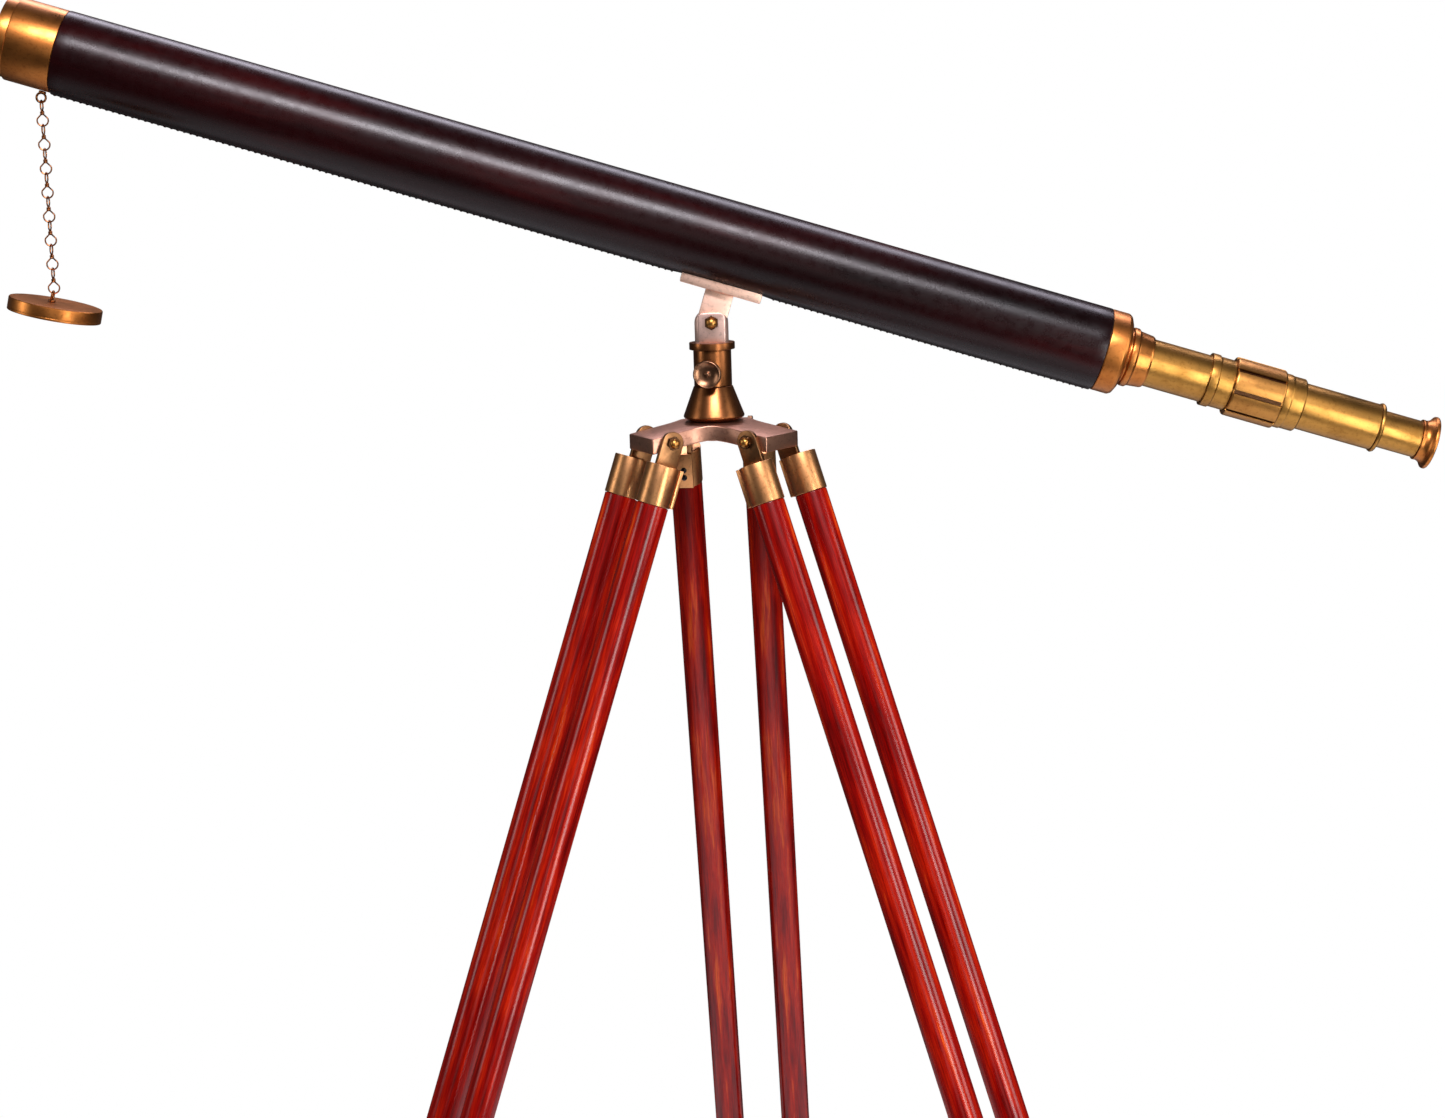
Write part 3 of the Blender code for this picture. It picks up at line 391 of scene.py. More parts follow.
@dataclass(frozen=True)
class Plain:
    """A dark or neutral finish that only varies a little."""

    name: str
    dark: Colour
    light: Colour
    metallic: float
    roughness: float
    grain: float = 600.0

    def material(self, seat: Matrix) -> bpy.types.Material:
        """Make the finish.

        Args:
            seat: The frame that the pattern is laid out in.

        Returns:
            The material.
        """
        graph = Graph(self.name)
        cloud = graph.noise(graph.seated(seat), self.grain, 4, 0.6)
        colour = graph.ramp(cloud, [(0.35, self.dark), (0.65, self.light)])
        normal = graph.bump(cloud, 0.02 * MM, 0.6)
        rough = graph.spread(cloud, self.roughness - 0.05, self.roughness + 0.08)
        graph.surface(Base_Color=colour, Metallic=self.metallic, Roughness=rough, Normal=normal)
        return graph.material


class Finish(Enum):
    """Every finish on the telescope and its stand."""

    COPPER = Brass(
        "copper_brass", (0.50, 0.18, 0.042), (0.33, 0.10, 0.018), (0.13, 0.035, 0.007), 0.31
    )
    GRIP = Brass(
        "grip_brass", (0.43, 0.20, 0.050), (0.29, 0.115, 0.025), (0.13, 0.05, 0.010), 0.32
    )
    GOLD = Brass(
        "gold_brass", (0.42, 0.21, 0.048), (0.27, 0.12, 0.022), (0.13, 0.06, 0.010), 0.32
    )
    BROWN = Brass(
        "brown_brass", (0.26, 0.095, 0.032), (0.145, 0.045, 0.013), (0.06, 0.02, 0.007), 0.29
    )
    ROSE = Brass(
        "rose_brass", (0.95, 0.63, 0.49), (0.80, 0.48, 0.35), (0.30, 0.15, 0.10), 0.36, False
    )
    FORK = Brass(
        "fork_brass", (0.72, 0.48, 0.41), (0.52, 0.31, 0.25), (0.09, 0.045, 0.03), 0.34, False
    )
    KNOB = Brass(
        "knob_brass", (0.24, 0.12, 0.066), (0.15, 0.065, 0.032), (0.06, 0.025, 0.012), 0.28
    )
    CAST = Brass(
        "cast_brass", (0.48, 0.25, 0.17), (0.26, 0.12, 0.08), (0.10, 0.04, 0.03), 0.36, False
    )
    FERRULE = Brass(
        "ferrule_brass", (0.60, 0.285, 0.115), (0.40, 0.165, 0.055), (0.12, 0.045, 0.015), 0.33
    )
    # The ears: the ferrule brass at about 0.4 of its brightness, painted shade on the flat ear
    # plates.
    EAR_PAINTED_SHADE = Brass(
        "ear_brass_painted_shade", (0.27, 0.13, 0.055), (0.17, 0.07, 0.025), (0.06, 0.022, 0.01), 0.32, False
    )
    # Brass darkened far below the rest: painted shade, on the nuts' hexagon flats and on the
    # floors of the grip's grooves.
    PAINTED_SHADE = Brass(
        "painted_shade_brass", (0.10, 0.045, 0.02), (0.05, 0.02, 0.01), (0.02, 0.01, 0.005), 0.30
    )
    LEATHER = Leather()
    GLASS = Glass()
    BLACKENED = Plain("blackened_inside", (0.010, 0.009, 0.008), (0.022, 0.020, 0.018), 0.2, 0.6)
    BLACK_STEEL = Plain("black_steel", (0.012, 0.012, 0.013), (0.05, 0.05, 0.052), 0.85, 0.3)
    THREAD = Plain("waxed_thread", (0.012, 0.004, 0.004), (0.035, 0.010, 0.009), 0.0, 0.55, 3000.0)


# ---------------------------------------------------------------- mesh helpers


@dataclass
class Workshop:
    """The loaded frame, and the tools that make and place pieces in it."""

    frame: dict
    made: dict[tuple, bpy.types.Material] = field(default_factory=dict)

    def material(
        self, finish: Finish | Mahogany, seat: Matrix, key: str
    ) -> bpy.types.Material:
        """The material of a finish in a seat, made once for each key.

        Args:
            finish: A named finish, or the wood of one rod.
            seat: The frame that its pattern is laid out in.
            key: Names the seat.

        Returns:
            The material.
        """
        if (finish, key) not in self.made:
            recipe = finish.value if isinstance(finish, Enum) else finish
            self.made[finish, key] = recipe.material(seat)
        return self.made[finish, key]

    def body(self, node: str) -> str:
        """The body that a node belongs to."""
        return self.frame["nodes"][node]["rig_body"]

    def slot(self, node: str) -> str:
        """The record's material slot of a node."""
        subparts = self.frame["record"]["subparts"]
        return next(s["material_slot"] for s in subparts if s["node"] == node)

    def stand_for(self, piece: bpy.types.Object, *nodes: str) -> None:
        """Let a piece replace nodes, and ride on their body.

        Args:
            piece: The new piece.
            nodes: The nodes that it replaces, all on one body.
        """
        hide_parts(*nodes)
        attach(piece, self.body(nodes[0]))
        LOG.info("%s: %d faces", piece.name, len(piece.data.polygons))

    def dress(self, piece: bpy.types.Object, material: bpy.types.Material) -> None:
        """Give a piece one material."""
        piece.data.materials.clear()
        piece.data.materials.append(material)

    def settle(
        self, piece: bpy.types.Object, node: str, finish: Finish | Mahogany, seat: Matrix, key: str
    ) -> None:
        """Give a piece its finish and let it stand for its node.

        Args:
            piece: The piece.
            node: The node that it replaces.
            finish: What it is made of.
            seat: The frame that its pattern is laid out in.
            key: Names the seat for its finish.
        """
        self.dress(piece, self.material(finish, seat, key))
        self.stand_for(piece, node)

    def to_mesh(self, name: str, bm: bmesh.types.BMesh, crease: float = 32.0) -> bpy.types.Object:
        """Turn a bmesh into a linked object with smooth shading.

        Args:
            name: The new object's name.
            bm: The mesh to keep; it is freed.
            crease: The angle, in degrees, past which an edge stays sharp.

        Returns:
            The object, at the origin.
        """
        bmesh.ops.remove_doubles(bm, verts=bm.verts, dist=1e-7)
        bmesh.ops.recalc_face_normals(bm, faces=bm.faces)
        mesh = bpy.data.meshes.new(name)
        bm.to_mesh(mesh)
        bm.free()
        mesh.shade_smooth()
        mesh.set_sharp_from_angle(angle=math.radians(crease))
        piece = bpy.data.objects.new(name, mesh)
        bpy.context.scene.collection.objects.link(piece)
        return piece

    def lathe(
        self,
        name: str,
        outline: Outline,
        seat: Matrix,
        segments: int = 96,
        shape: Shape | None = None,
    ) -> bpy.types.Object:
        """Turn an outline about a seat's Z.

        Args:
            name: The new piece's name.
            outline: Points of (place along the axis, radius) in millimetres. One that starts
                and ends on the axis is a solid, and any other closes on itself, as a tube does.
            seat: The frame of the turning axis.
            segments: How many faces it has round it.
            shape: Changes a radius, from (angle, place, radius).

        Returns:
            The turned piece.
        """
        bm = bmesh.new()
        turn = 2 * math.pi / segments
        rings = []
        for place, radius in outline:
            if radius < 1e-6:
                rings.append([bm.verts.new((0, 0, place * MM))] * segments)
                continue
            ring = []
            for i in range(segments):
                r = (shape(i * turn, place, radius) if shape else radius) * MM
                corner = (r * math.cos(i * turn), r * math.sin(i * turn), place * MM)
                ring.append(bm.verts.new(corner))
            rings.append(ring)
        pairs = list(zip(rings, rings[1:]))
        if outline[0][1] >= 1e-6:
            pairs.append((rings[-1], rings[0]))
        for here, there in pairs:
            for i in range(segments):
                j = (i + 1) % segments
                corners = list(dict.fromkeys((here[i], here[j], there[j], there[i])))
                if len(corners) > 2:
                    bm.faces.new(corners)
        bmesh.ops.transform(bm, matrix=seat, verts=bm.verts)
        return self.to_mesh(name, bm)

    def turned(
        self,
        node: str,
        outline: Outline,
        seat: Matrix,
        finish: Finish,
        key: str,
        soft: float = 0.3,
        segments: int = 96,
        shape: Shape | None = None,
    ) -> bpy.types.Object:
        """Remake a turned node with softly rounded corners.

        Args:
            node: The node that it stands for.
            outline: See lathe.
            seat: The frame of the turning axis.
            finish: What it is made of.
            key: Names the seat for the finish, so that pieces on one axis share it.
            soft: How far the corners are rounded, in millimetres.
            segments: How many faces it has round it.
            shape: See lathe.

        Returns:
            The piece.
        """
        name = f"{node}_turned"
        piece = self.lathe(name, rounded(outline, soft), seat, segments, shape)
        self.settle(piece, node, finish, seat, key)
        return piece

    def prism(
        self, name: str, outline: Outline, low: float, high: float, seat: Matrix
    ) -> bpy.types.Object:
        """Extrude an outline along a seat's Z.

        Args:
            name: The new piece's name.
            outline: Points of the seat's (X, Y), in millimetres.
            low: Where it starts along Z, in millimetres.
            high: Where it ends.
            seat: The frame it is drawn in.

        Returns:
            The piece.
        """
        bm = bmesh.new()
        bottom = [bm.verts.new((x * MM, y * MM, low * MM)) for x, y in outline]
        top = [bm.verts.new((x * MM, y * MM, high * MM)) for x, y in outline]
        bm.faces.new(bottom)
        bm.faces.new(top)
        for i in range(len(outline)):
            j = (i + 1) % len(outline)
            bm.faces.new((bottom[i], bottom[j], top[j], top[i]))
        bmesh.ops.transform(bm, matrix=seat, verts=bm.verts)
        return self.to_mesh(name, bm)

    def bore(
        self, piece: bpy.types.Object, seat: Matrix, low: float, high: float, r: float
    ) -> None:
        """Drill a round hole of radius r along a seat's Z, from low to high."""
        drill = self.lathe("drill", [(low, 0), (low, r), (high, r), (high, 0)], seat, 48)
        self.combine(piece, drill, "DIFFERENCE")

    def ease(self, piece: bpy.types.Object, width: float, segments: int = 3) -> None:
        """Round a piece's sharp edges, by a width in millimetres.

        Args:
            piece: The piece.
            width: How far each rounding reaches from its edge.
            segments: How many faces go across it.
        """
        bevel = piece.modifiers.new("eased_edges", "BEVEL")
        bevel.width = width * MM
        bevel.segments = segments
        bevel.limit_method = "ANGLE"
        bevel.angle_limit = math.radians(40)
        self.bake(piece)

    def smooth(self, piece: bpy.types.Object, crease: float = 32.0) -> None:
        """Shade a piece smoothly, apart from edges past a crease angle in degrees."""
        piece.data.shade_smooth()
        piece.data.set_sharp_from_angle(angle=math.radians(crease))

    def join(self, piece: bpy.types.Object, *others: bpy.types.Object) -> bpy.types.Object:
        """Put the meshes of others, which are used up, in with a piece's own.

        Args:
            piece: The piece that takes them in.
            others: The pieces that are used up.

        Returns:
            The first piece.
        """
        bm = bmesh.new()
        for source in (piece, *others):
            bm.from_mesh(source.data)
        bm.to_mesh(piece.data)
        bm.free()
        for other in others:
            bpy.data.objects.remove(other, do_unlink=True)
        return piece

    def wire(
        self,
        name: str,
        paths: Sequence[tuple[Sequence[Vector], float, bool]],
        seat: Matrix,
        sides: int = 10,
    ) -> bpy.types.Object:
        """Bend round wire along paths.

        Args:
            name: The new piece's name.
            paths: Each a path's points, its wire's radius and whether it closes, in millimetres.
            seat: The frame it is drawn in.
            sides: How many faces the wire has round it.

        Returns:
            The piece.
        """
        bm = bmesh.new()
        for path, radius, closed in paths:
            rings = []
            normal = None
            count = len(path)
            for i, here in enumerate(path):
                before = path[i - 1] if closed or i else here
                after = path[(i + 1) % count] if closed or i < count - 1 else here
                forward = (after - before).normalized()
                if normal is None:
                    normal = forward.orthogonal()
                normal = (normal - forward * normal.dot(forward)).normalized()
                side = forward.cross(normal)
                ring = []
                for k in range(sides):
                    angle = 2 * math.pi * k / sides
                    out = normal * math.cos(angle) + side * math.sin(angle)
                    ring.append(bm.verts.new((here + out * radius) * MM))
                rings.append(ring)
            pairs = list(zip(rings, rings[1:]))
            if closed:
                pairs.append((rings[-1], rings[0]))
            else:
                bm.faces.new(rings[0])
                bm.faces.new(rings[-1])
            for here, there in pairs:
                for k in range(sides):
                    m = (k + 1) % sides
                    bm.faces.new((here[k], here[m], there[m], there[k]))
        bmesh.ops.transform(bm, matrix=seat, verts=bm.verts)
        return self.to_mesh(name, bm, 60)

    def combine(self, piece: bpy.types.Object, other: bpy.types.Object, operation: str) -> None:
        """Join or cut a piece with another, which is used up.

        Args:
            piece: The piece that is kept.
            other: The piece that is used up.
            operation: UNION or DIFFERENCE.
        """
        modifier = piece.modifiers.new("combine", "BOOLEAN")
        modifier.operation = operation
        modifier.solver = "EXACT"
        modifier.object = other
        self.bake(piece)
        bpy.data.objects.remove(other, do_unlink=True)

    def bake(self, piece: bpy.types.Object) -> None:
        """Replace a piece's mesh with what its modifiers make, and remove them.

        Args:
            piece: The piece.
        """
        graph = bpy.context.evaluated_depsgraph_get()
        mesh = bpy.data.meshes.new_from_object(piece.evaluated_get(graph), depsgraph=graph)
        piece.modifiers.clear()
        piece.data = mesh


def rounded(points: Outline, radius: float, steps: int = 3) -> Outline:
    """Round the corners of an outline with short arcs, as a file or a buff does.

    Args:
        points: The outline. One that starts on the axis is open, and keeps its two ends.
        radius: How far the rounding reaches along each side of a corner, at the most.
        steps: How many lines each arc has.

    Returns:
        The rounded outline.
    """
    is_open = points[0][1] < 1e-6
    count = len(points)
    result: Outline = []
    for i, point in enumerate(points):
        if is_open and i in (0, count - 1):
            result.append(point)
            continue
        here = Vector(point)
        before = Vector(points[i - 1]) - here
        after = Vector(points[(i + 1) % count]) - here
        reach = min(radius, 0.42 * before.length, 0.42 * after.length)
        if reach < 1e-6:
            result.append(point)
            continue
        start = here + before.normalized() * reach
        end = here + after.normalized() * reach
        for step in range(steps + 1):
            t = step / steps
            bend = start * (1 - t) ** 2 + here * 2 * t * (1 - t) + end * t**2
            result.append((bend.x, max(0.0, bend.y)))
    return result


# ---------------------------------------------------------------- repeating pieces


class Repeater:
    """A Geometry Nodes tree that puts copies of one shape on the points of a mesh."""

    def __init__(self, name: str, unit: bpy.types.Object, material: bpy.types.Material) -> None:
        """Build the tree.

        Args:
            name: The tree's name.
            unit: The object whose shape is repeated.
            material: The finish of every copy.
        """
        self.tree = bpy.data.node_groups.new(name, "GeometryNodeTree")
        face = self.tree.interface
        face.new_socket("Places", in_out="INPUT", socket_type="NodeSocketGeometry")
        self.size = face.new_socket("Size", in_out="INPUT", socket_type="NodeSocketFloat")
        face.new_socket("Copies", in_out="OUTPUT", socket_type="NodeSocketGeometry")
        nodes, links = self.tree.nodes, self.tree.links
        source = nodes.new("NodeGroupInput")
        result = nodes.new("NodeGroupOutput")
        shape = nodes.new("GeometryNodeObjectInfo")
        shape.inputs["Object"].default_value = unit
        turn = nodes.new("GeometryNodeInputNamedAttribute")
        turn.data_type = "FLOAT_VECTOR"
        turn.inputs["Name"].default_value = "turn"
        place = nodes.new("GeometryNodeInstanceOnPoints")
        realize = nodes.new("GeometryNodeRealizeInstances")
        finish = nodes.new("GeometryNodeSetMaterial")
        finish.inputs["Material"].default_value = material
        links.new(source.outputs["Places"], place.inputs["Points"])
        links.new(shape.outputs["Geometry"], place.inputs["Instance"])
        links.new(turn.outputs["Attribute"], place.inputs["Rotation"])
        links.new(source.outputs["Size"], place.inputs["Scale"])
        links.new(place.outputs["Instances"], realize.inputs["Geometry"])
        links.new(realize.outputs["Geometry"], finish.inputs["Geometry"])
        links.new(finish.outputs["Geometry"], result.inputs["Copies"])

    def make(
        self, workshop: Workshop, name: str, seats: Sequence[Matrix], size: float = 1.0
    ) -> bpy.types.Object:
        """Bake one object that holds a copy on each seat.

        Args:
            workshop: Bakes the copies to a plain mesh.
            name: The new piece's name.
            seats: The frame of each copy.
            size: The scale of every copy.

        Returns:
            The piece.
        """
        mesh = bpy.data.meshes.new(name)
        mesh.from_pydata([seat.translation for seat in seats], [], [])
        turns = mesh.attributes.new("turn", "FLOAT_VECTOR", "POINT")
        for item, seat in zip(turns.data, seats):
            item.vector = Vector(seat.to_euler())
        piece = bpy.data.objects.new(name, mesh)
        bpy.context.scene.collection.objects.link(piece)
        modifier = piece.modifiers.new("copies", "NODES")
        modifier.node_group = self.tree
        modifier[self.size.identifier] = size
        workshop.bake(piece)
        workshop.smooth(piece)
        return piece


# ---------------------------------------------------------------- where everything is


ALONG_X = Matrix(((0, 0, 1, 0), (1, 0, 0, 0), (0, 1, 0, 0), (0, 0, 0, 1)))
UPRIGHT = Matrix(((1, 0, 0, 0), (0, 0, -1, 0), (0, 1, 0, 0), (0, 0, 0, 1)))
ALONG_Y = Matrix(((0, 1, 0, 0), (0, 0, 1, 0), (1, 0, 0, 0), (0, 0, 0, 1)))


def shift(x: float, y: float, z: float) -> Matrix:
    """A move by millimetres."""
    return Matrix.Translation((x * MM, y * MM, z * MM))


def turn(degrees: float, axis: str) -> Matrix:
    """A turn about an axis."""
    return Matrix.Rotation(math.radians(degrees), 4, axis)


def arc(x: float, y: float, radius: float, start: float, stop: float, steps: int) -> Outline:
    """Points of an arc between two angles in degrees, with both its ends.

    Args:
        x: The centre's first coordinate.
        y: The centre's second coordinate.
        radius: Its radius.
        start: The angle that it starts at.
        stop: The angle that it ends at.
        steps: How many lines it has.

    Returns:
        The points.
    """
    points = []
    for i in range(steps + 1):
        angle = math.radians(start + (stop - start) * i / steps)
        points.append((x + radius * math.cos(angle), y + radius * math.sin(angle)))
    return points


@dataclass(frozen=True)
class Layout:
    """Where the stand's and the telescope's axes lie: the pivot in metres, the rest in mm."""

    pivot: tuple[float, float, float] = (-0.007, -0.107, 1.427)
    elevation: float = 17.6
    axis_rise: float = 56.0
    bolt_circle: float = 43.0
    bolt_level: float = -80.0
    leg_slope: float = 0.357
    chain_place: float = -486.5
    chain_centre: float = 22.2
    azimuths: tuple[tuple[str, float], ...] = (("a", 205.2), ("b", 325.2), ("c", 85.2))

    def stand(self) -> Matrix:
        """Upright frame at the tilt bolt."""
        return Matrix.Translation(self.pivot)

    def tilt(self) -> Matrix:
        """Frame at the tilt bolt that leans with the telescope: X to the eye, Z up."""
        return self.stand() @ turn(self.elevation, "Y")

    def tube(self) -> Matrix:
        """Frame on the telescope's axis: Z to the eye, Y up and X away from the front."""
        return self.tilt() @ shift(0, 0, self.axis_rise) @ ALONG_X

    def chain(self) -> Matrix:
        """Upright frame in the middle of the eyelet that the chain hangs from."""
        place = self.tilt() @ shift(self.chain_place, 0, self.chain_centre)
        return place @ turn(-self.elevation, "Y")

    def leg(self, azimuth: float) -> Matrix:
        """Frame of a leg: on its hinge bolt, Y along the bolt and Z up the leg."""
        place = self.stand() @ turn(azimuth, "Z") @ shift(self.bolt_circle, 0, self.bolt_level)
        return place @ turn(-math.degrees(math.atan(self.leg_slope)), "Y")


# ---------------------------------------------------------------- sub-assemblies


@dataclass
class Part:
    """A sub-assembly that is built with the workshop's tools at the layout's seats."""

    shop: Workshop
    layout: Layout

    def bolt(self, node: str, seat: Matrix, key: str, grip: float, nut: "Nut") -> None:
        """Make a bolt with a domed hexagon nut at each end of its grip.

        Args:
            node: The node that it stands for.
            seat: The frame whose Z the bolt lies along, with its origin halfway along it.
            key: Names the seat for its finish.
            grip: The length between the nuts.
            nut: The nuts' sizes.
        """
        half = grip / 2
        end = nut.outline(half)
        outline = [(-h, r) for h, r in reversed(end)]
        outline += [(-half, BOLT_RADIUS), (half, BOLT_RADIUS), *end]
        piece = self.shop.lathe(f"{node}_domed", outline, seat, 96, nut.hexagon)
        self.shop.dress(piece, self.shop.material(Finish.GRIP, seat, key))
        # The hexagons and the shank between them get the dark brass, and the domes keep the grip
        # brass: painted shade on the nuts' flats.
        piece.data.materials.append(self.shop.material(Finish.PAINTED_SHADE, seat, key))
        to_seat = seat.inverted()
        for face in piece.data.polygons:
            if abs((to_seat @ face.center).z) < (half + nut.thick + 0.05) * MM:
                face.material_index = 1
        self.shop.stand_for(piece, node)

    def knob(
        self, node: str, seat: Matrix, key: str, inner: float, start: float, end: float, r: float
    ) -> None:
        """Make a dished thumbscrew knob with a raised rim and a centre button.

        Args:
            node: The node that it stands for.
            seat: The frame whose Z runs out along the screw.
            key: Names the seat for its finish.
            inner: Where the screw's tip is along Z.
            start: Where the head starts.
            end: Where its rim ends.
            r: The head's radius.
        """
        shank = 2.5
        outline = [(inner, 0), (inner, shank), (start, shank), (start + 0.4, 0.6 * r)]
        outline += [(start + 1.2, r - 1.0), (start + 2.6, r), (end, r), (end + 0.6, r - 0.8)]
        outline += [(end + 0.1, r - 1.5)]
        for i in range(1, 7):
            share = i / 6
            outline.append((end - 1.8 * math.sin(share * math.pi / 2), r - 1.5 - share * 0.52 * r))
        outline += [(end - 1.8, 0.2 * r), (end - 1.0, 0.17 * r), (end - 0.3, 0.1 * r)]
        outline += [(end - 0.2, 0)]
        self.shop.turned(node, outline, seat, Finish.KNOB, key, 0.35)


@dataclass(frozen=True)
class Nut:
    """A hexagon nut with a domed cap, in millimetres."""

    flats: float
    thick: float
    dome: float

    def outline(self, start: float) -> Outline:
        """Outline from the nut's seat outwards to the top of its dome.

        Args:
            start: Where the seat is along the bolt.

        Returns:
            Points of (place, radius).
        """
        corner = self.flats / math.cos(math.pi / 6)
        top = start + self.thick
        points = [(start, corner - 0.35), (start + 0.3, corner)]
        points += [(top - 0.35, corner), (top, corner - 0.5), (top, 0.84 * self.flats)]
        steps = 8
        for i in range(1, steps + 1):
            angle = math.pi / 2 * i / steps
            radius = 0.84 * self.flats * math.cos(angle) if i < steps else 0.0
            points.append((top + self.dome * math.sin(angle), radius))
        return points

    def hexagon(self, angle: float, place: float, radius: float) -> float:
        """Cut a radius back to the hexagon.

        Args:
            angle: The angle round the bolt.
            place: The place along it, which makes no difference.
            radius: The radius before the cut.

        Returns:
            The radius.
        """
        sector = math.pi / 3
        turned_to = angle % sector - sector / 2
        return min(radius, self.flats / math.cos(turned_to))


@dataclass
class StandHead(Part):
    """The hub, the cone and column on it, the swivelling fork and its lock."""

    collar_top: float = -14.3
    collar_bottom: float = -19.3
    collar_radius: float = 16.0
    column_radius: float = 13.3
    column_bottom: float = -44.8
    cone_base: float = -66.0
    hub_top: float = -69.8
    hub_thick: float = 10.8
    hub_drop: float = 6.8
    flat_radius: float = 16.0
    arm_end: float = 57.0
    arm_half: float = 20.0
    web_fillet: float = 30.0
    lock_level: float = -35.0
    lock_azimuth: float = -101.0
    fork_half: float = 11.8
    cheek: float = 9.5
    fork_top: float = 6.4
    fork_round: float = 7.0
    slot_half: float = 4.3
    chamfer: float = 2.6
    screw_radius: float = 5.0
    spindle_radius: float = 8.0
    spindle_end: float = -40.5
    nut: Nut = Nut(4.5, 3.2, 3.0)

    def build(self) -> None:
        """Build everything between the legs and the telescope."""
        stand = self.layout.stand()
        self.cone(stand)
        self.column(stand)
        self.hub(stand)
        self.fork(stand)
        grip = 2 * (self.cheek + FIT_GAP)
        self.bolt("tilt_bolt", stand @ ALONG_Y, "tilt_bolt", grip, self.nut)
        seat = stand @ shift(0, 0, self.lock_level) @ turn(self.lock_azimuth, "Z") @ ALONG_X
        self.knob("azimuth_lock_knob", seat, "azimuth_lock", 8.4, 17.0, 22.5, 9.8)

    def cone(self, stand: Matrix) -> None:
        """Turn the cone that stands on the hub, and the screw under it.

        Args:
            stand: The upright frame at the tilt bolt.
        """
        base, hole = self.cone_base, self.screw_radius + FIT_GAP
        outline = [
            (self.hub_top + FIT_GAP, hole), (self.hub_top + FIT_GAP, 16.5), (base - 1, 21.0),
            (base, 21.5), (base + 1, 21.2), (self.column_bottom - FIT_GAP, 13.7),
            (self.column_bottom - FIT_GAP, hole),
        ]
        self.shop.turned("cone_socket", outline, stand, Finish.BROWN, "stand", 0.4)
        low = self.hub_top - self.hub_thick - FIT_GAP
        tip, radius = self.column_bottom - 2 * FIT_GAP, self.screw_radius
        screw = [(low - 2.2, 0), (low - 2.2, 9.4), (low - 1.7, 10.2), (low, 10.2), (low, radius)]
        screw += [(tip, radius), (tip, 0)]
        head = Nut(9.0, 8.0, 1.0)
        self.shop.turned("hub_screw", screw, stand, Finish.BROWN, "stand", 0.3, 96, head.hexagon)

    def column(self, stand: Matrix) -> None:
        """Turn the column, and drill it for the lock.

        Args:
            stand: The upright frame at the tilt bolt.
        """
        top, end = self.collar_bottom - FIT_GAP, self.spindle_end - 0.5
        hole = self.spindle_radius + FIT_GAP
        outline = [(self.column_bottom, 0), (self.column_bottom, self.column_radius)]
        outline += [(top, self.column_radius), (top, hole), (end, hole), (end, 0)]
        piece = self.shop.lathe("column_turned", rounded(outline, 0.5), stand, 96)
        seat = stand @ shift(0, 0, self.lock_level) @ turn(self.lock_azimuth, "Z") @ ALONG_X
        self.shop.bore(piece, seat, 5, 20, LOCK_HOLE)
        self.shop.smooth(piece)
        self.shop.settle(piece, "column", Finish.BROWN, stand, "stand")

    def hub_outline(self) -> Outline:
        """Plan of the three-armed hub, with a rounded web between each two arms.

        Returns:
            Points of (X, Y).
        """
        corner = self.arm_half / math.sin(math.radians(60))
        tangent = corner * 0.5 + self.web_fillet / math.tan(math.radians(60))
        points: Outline = []
        for azimuth in sorted(a for _, a in self.layout.azimuths):
            spin = Matrix.Rotation(math.radians(azimuth), 2)
            arm = [(tangent, -1), (self.arm_end, -1), (self.arm_end, 1), (tangent, 1)]
            points += [tuple(spin @ Vector((x, y * self.arm_half))) for x, y in arm]
            middle = math.radians(azimuth + 60)
            reach = corner + self.web_fillet / math.sin(math.radians(60))
            centre = (reach * math.cos(middle), reach * math.sin(middle))
            web = arc(*centre, self.web_fillet, azimuth + 270, azimuth + 210, 18)
            points += web[1:-1]
        return points

    def hub(self, stand: Matrix) -> None:
        """Cast the hub: flat in the middle, with arms that fall away outwards.

        Args:
            stand: The upright frame at the tilt bolt.
        """
        low = self.hub_top - self.hub_thick
        piece = self.shop.prism("hub_casting", self.hub_outline(), low, self.hub_top, Matrix())
        bm = bmesh.new()
        bm.from_mesh(piece.data)
        arms = [math.radians(azimuth) for _, azimuth in self.layout.azimuths]
        for angle in arms:
            outward = Vector((math.cos(angle), math.sin(angle), 0))
            side = Vector((-math.sin(angle), math.cos(angle), 0))
            for place, normal in ((outward * self.flat_radius * MM, outward), (Vector(), side)):
                everything = bm.verts[:] + bm.edges[:] + bm.faces[:]
                bmesh.ops.bisect_plane(
                    bm, geom=everything, plane_co=place, plane_no=normal, dist=1e-7
                )
        slope = self.hub_drop / (self.arm_end - self.flat_radius)
        for vert in bm.verts:
            reach = max(vert.co.x * math.cos(a) + vert.co.y * math.sin(a) for a in arms)
            vert.co.z -= slope * max(0.0, reach - self.flat_radius * MM)
        bmesh.ops.transform(bm, matrix=stand, verts=bm.verts)
        bm.to_mesh(piece.data)
        bm.free()
        self.shop.ease(piece, 0.9)
        self.shop.bore(piece, stand, -90, -60, self.screw_radius + FIT_GAP)
        for _, azimuth in self.layout.azimuths:
            self.shop.bore(piece, self.layout.leg(azimuth) @ ALONG_Y, -30, 30, BOLT_HOLE)
        self.shop.smooth(piece)
        self.shop.settle(piece, "hub_spider", Finish.CAST, stand, "hub")

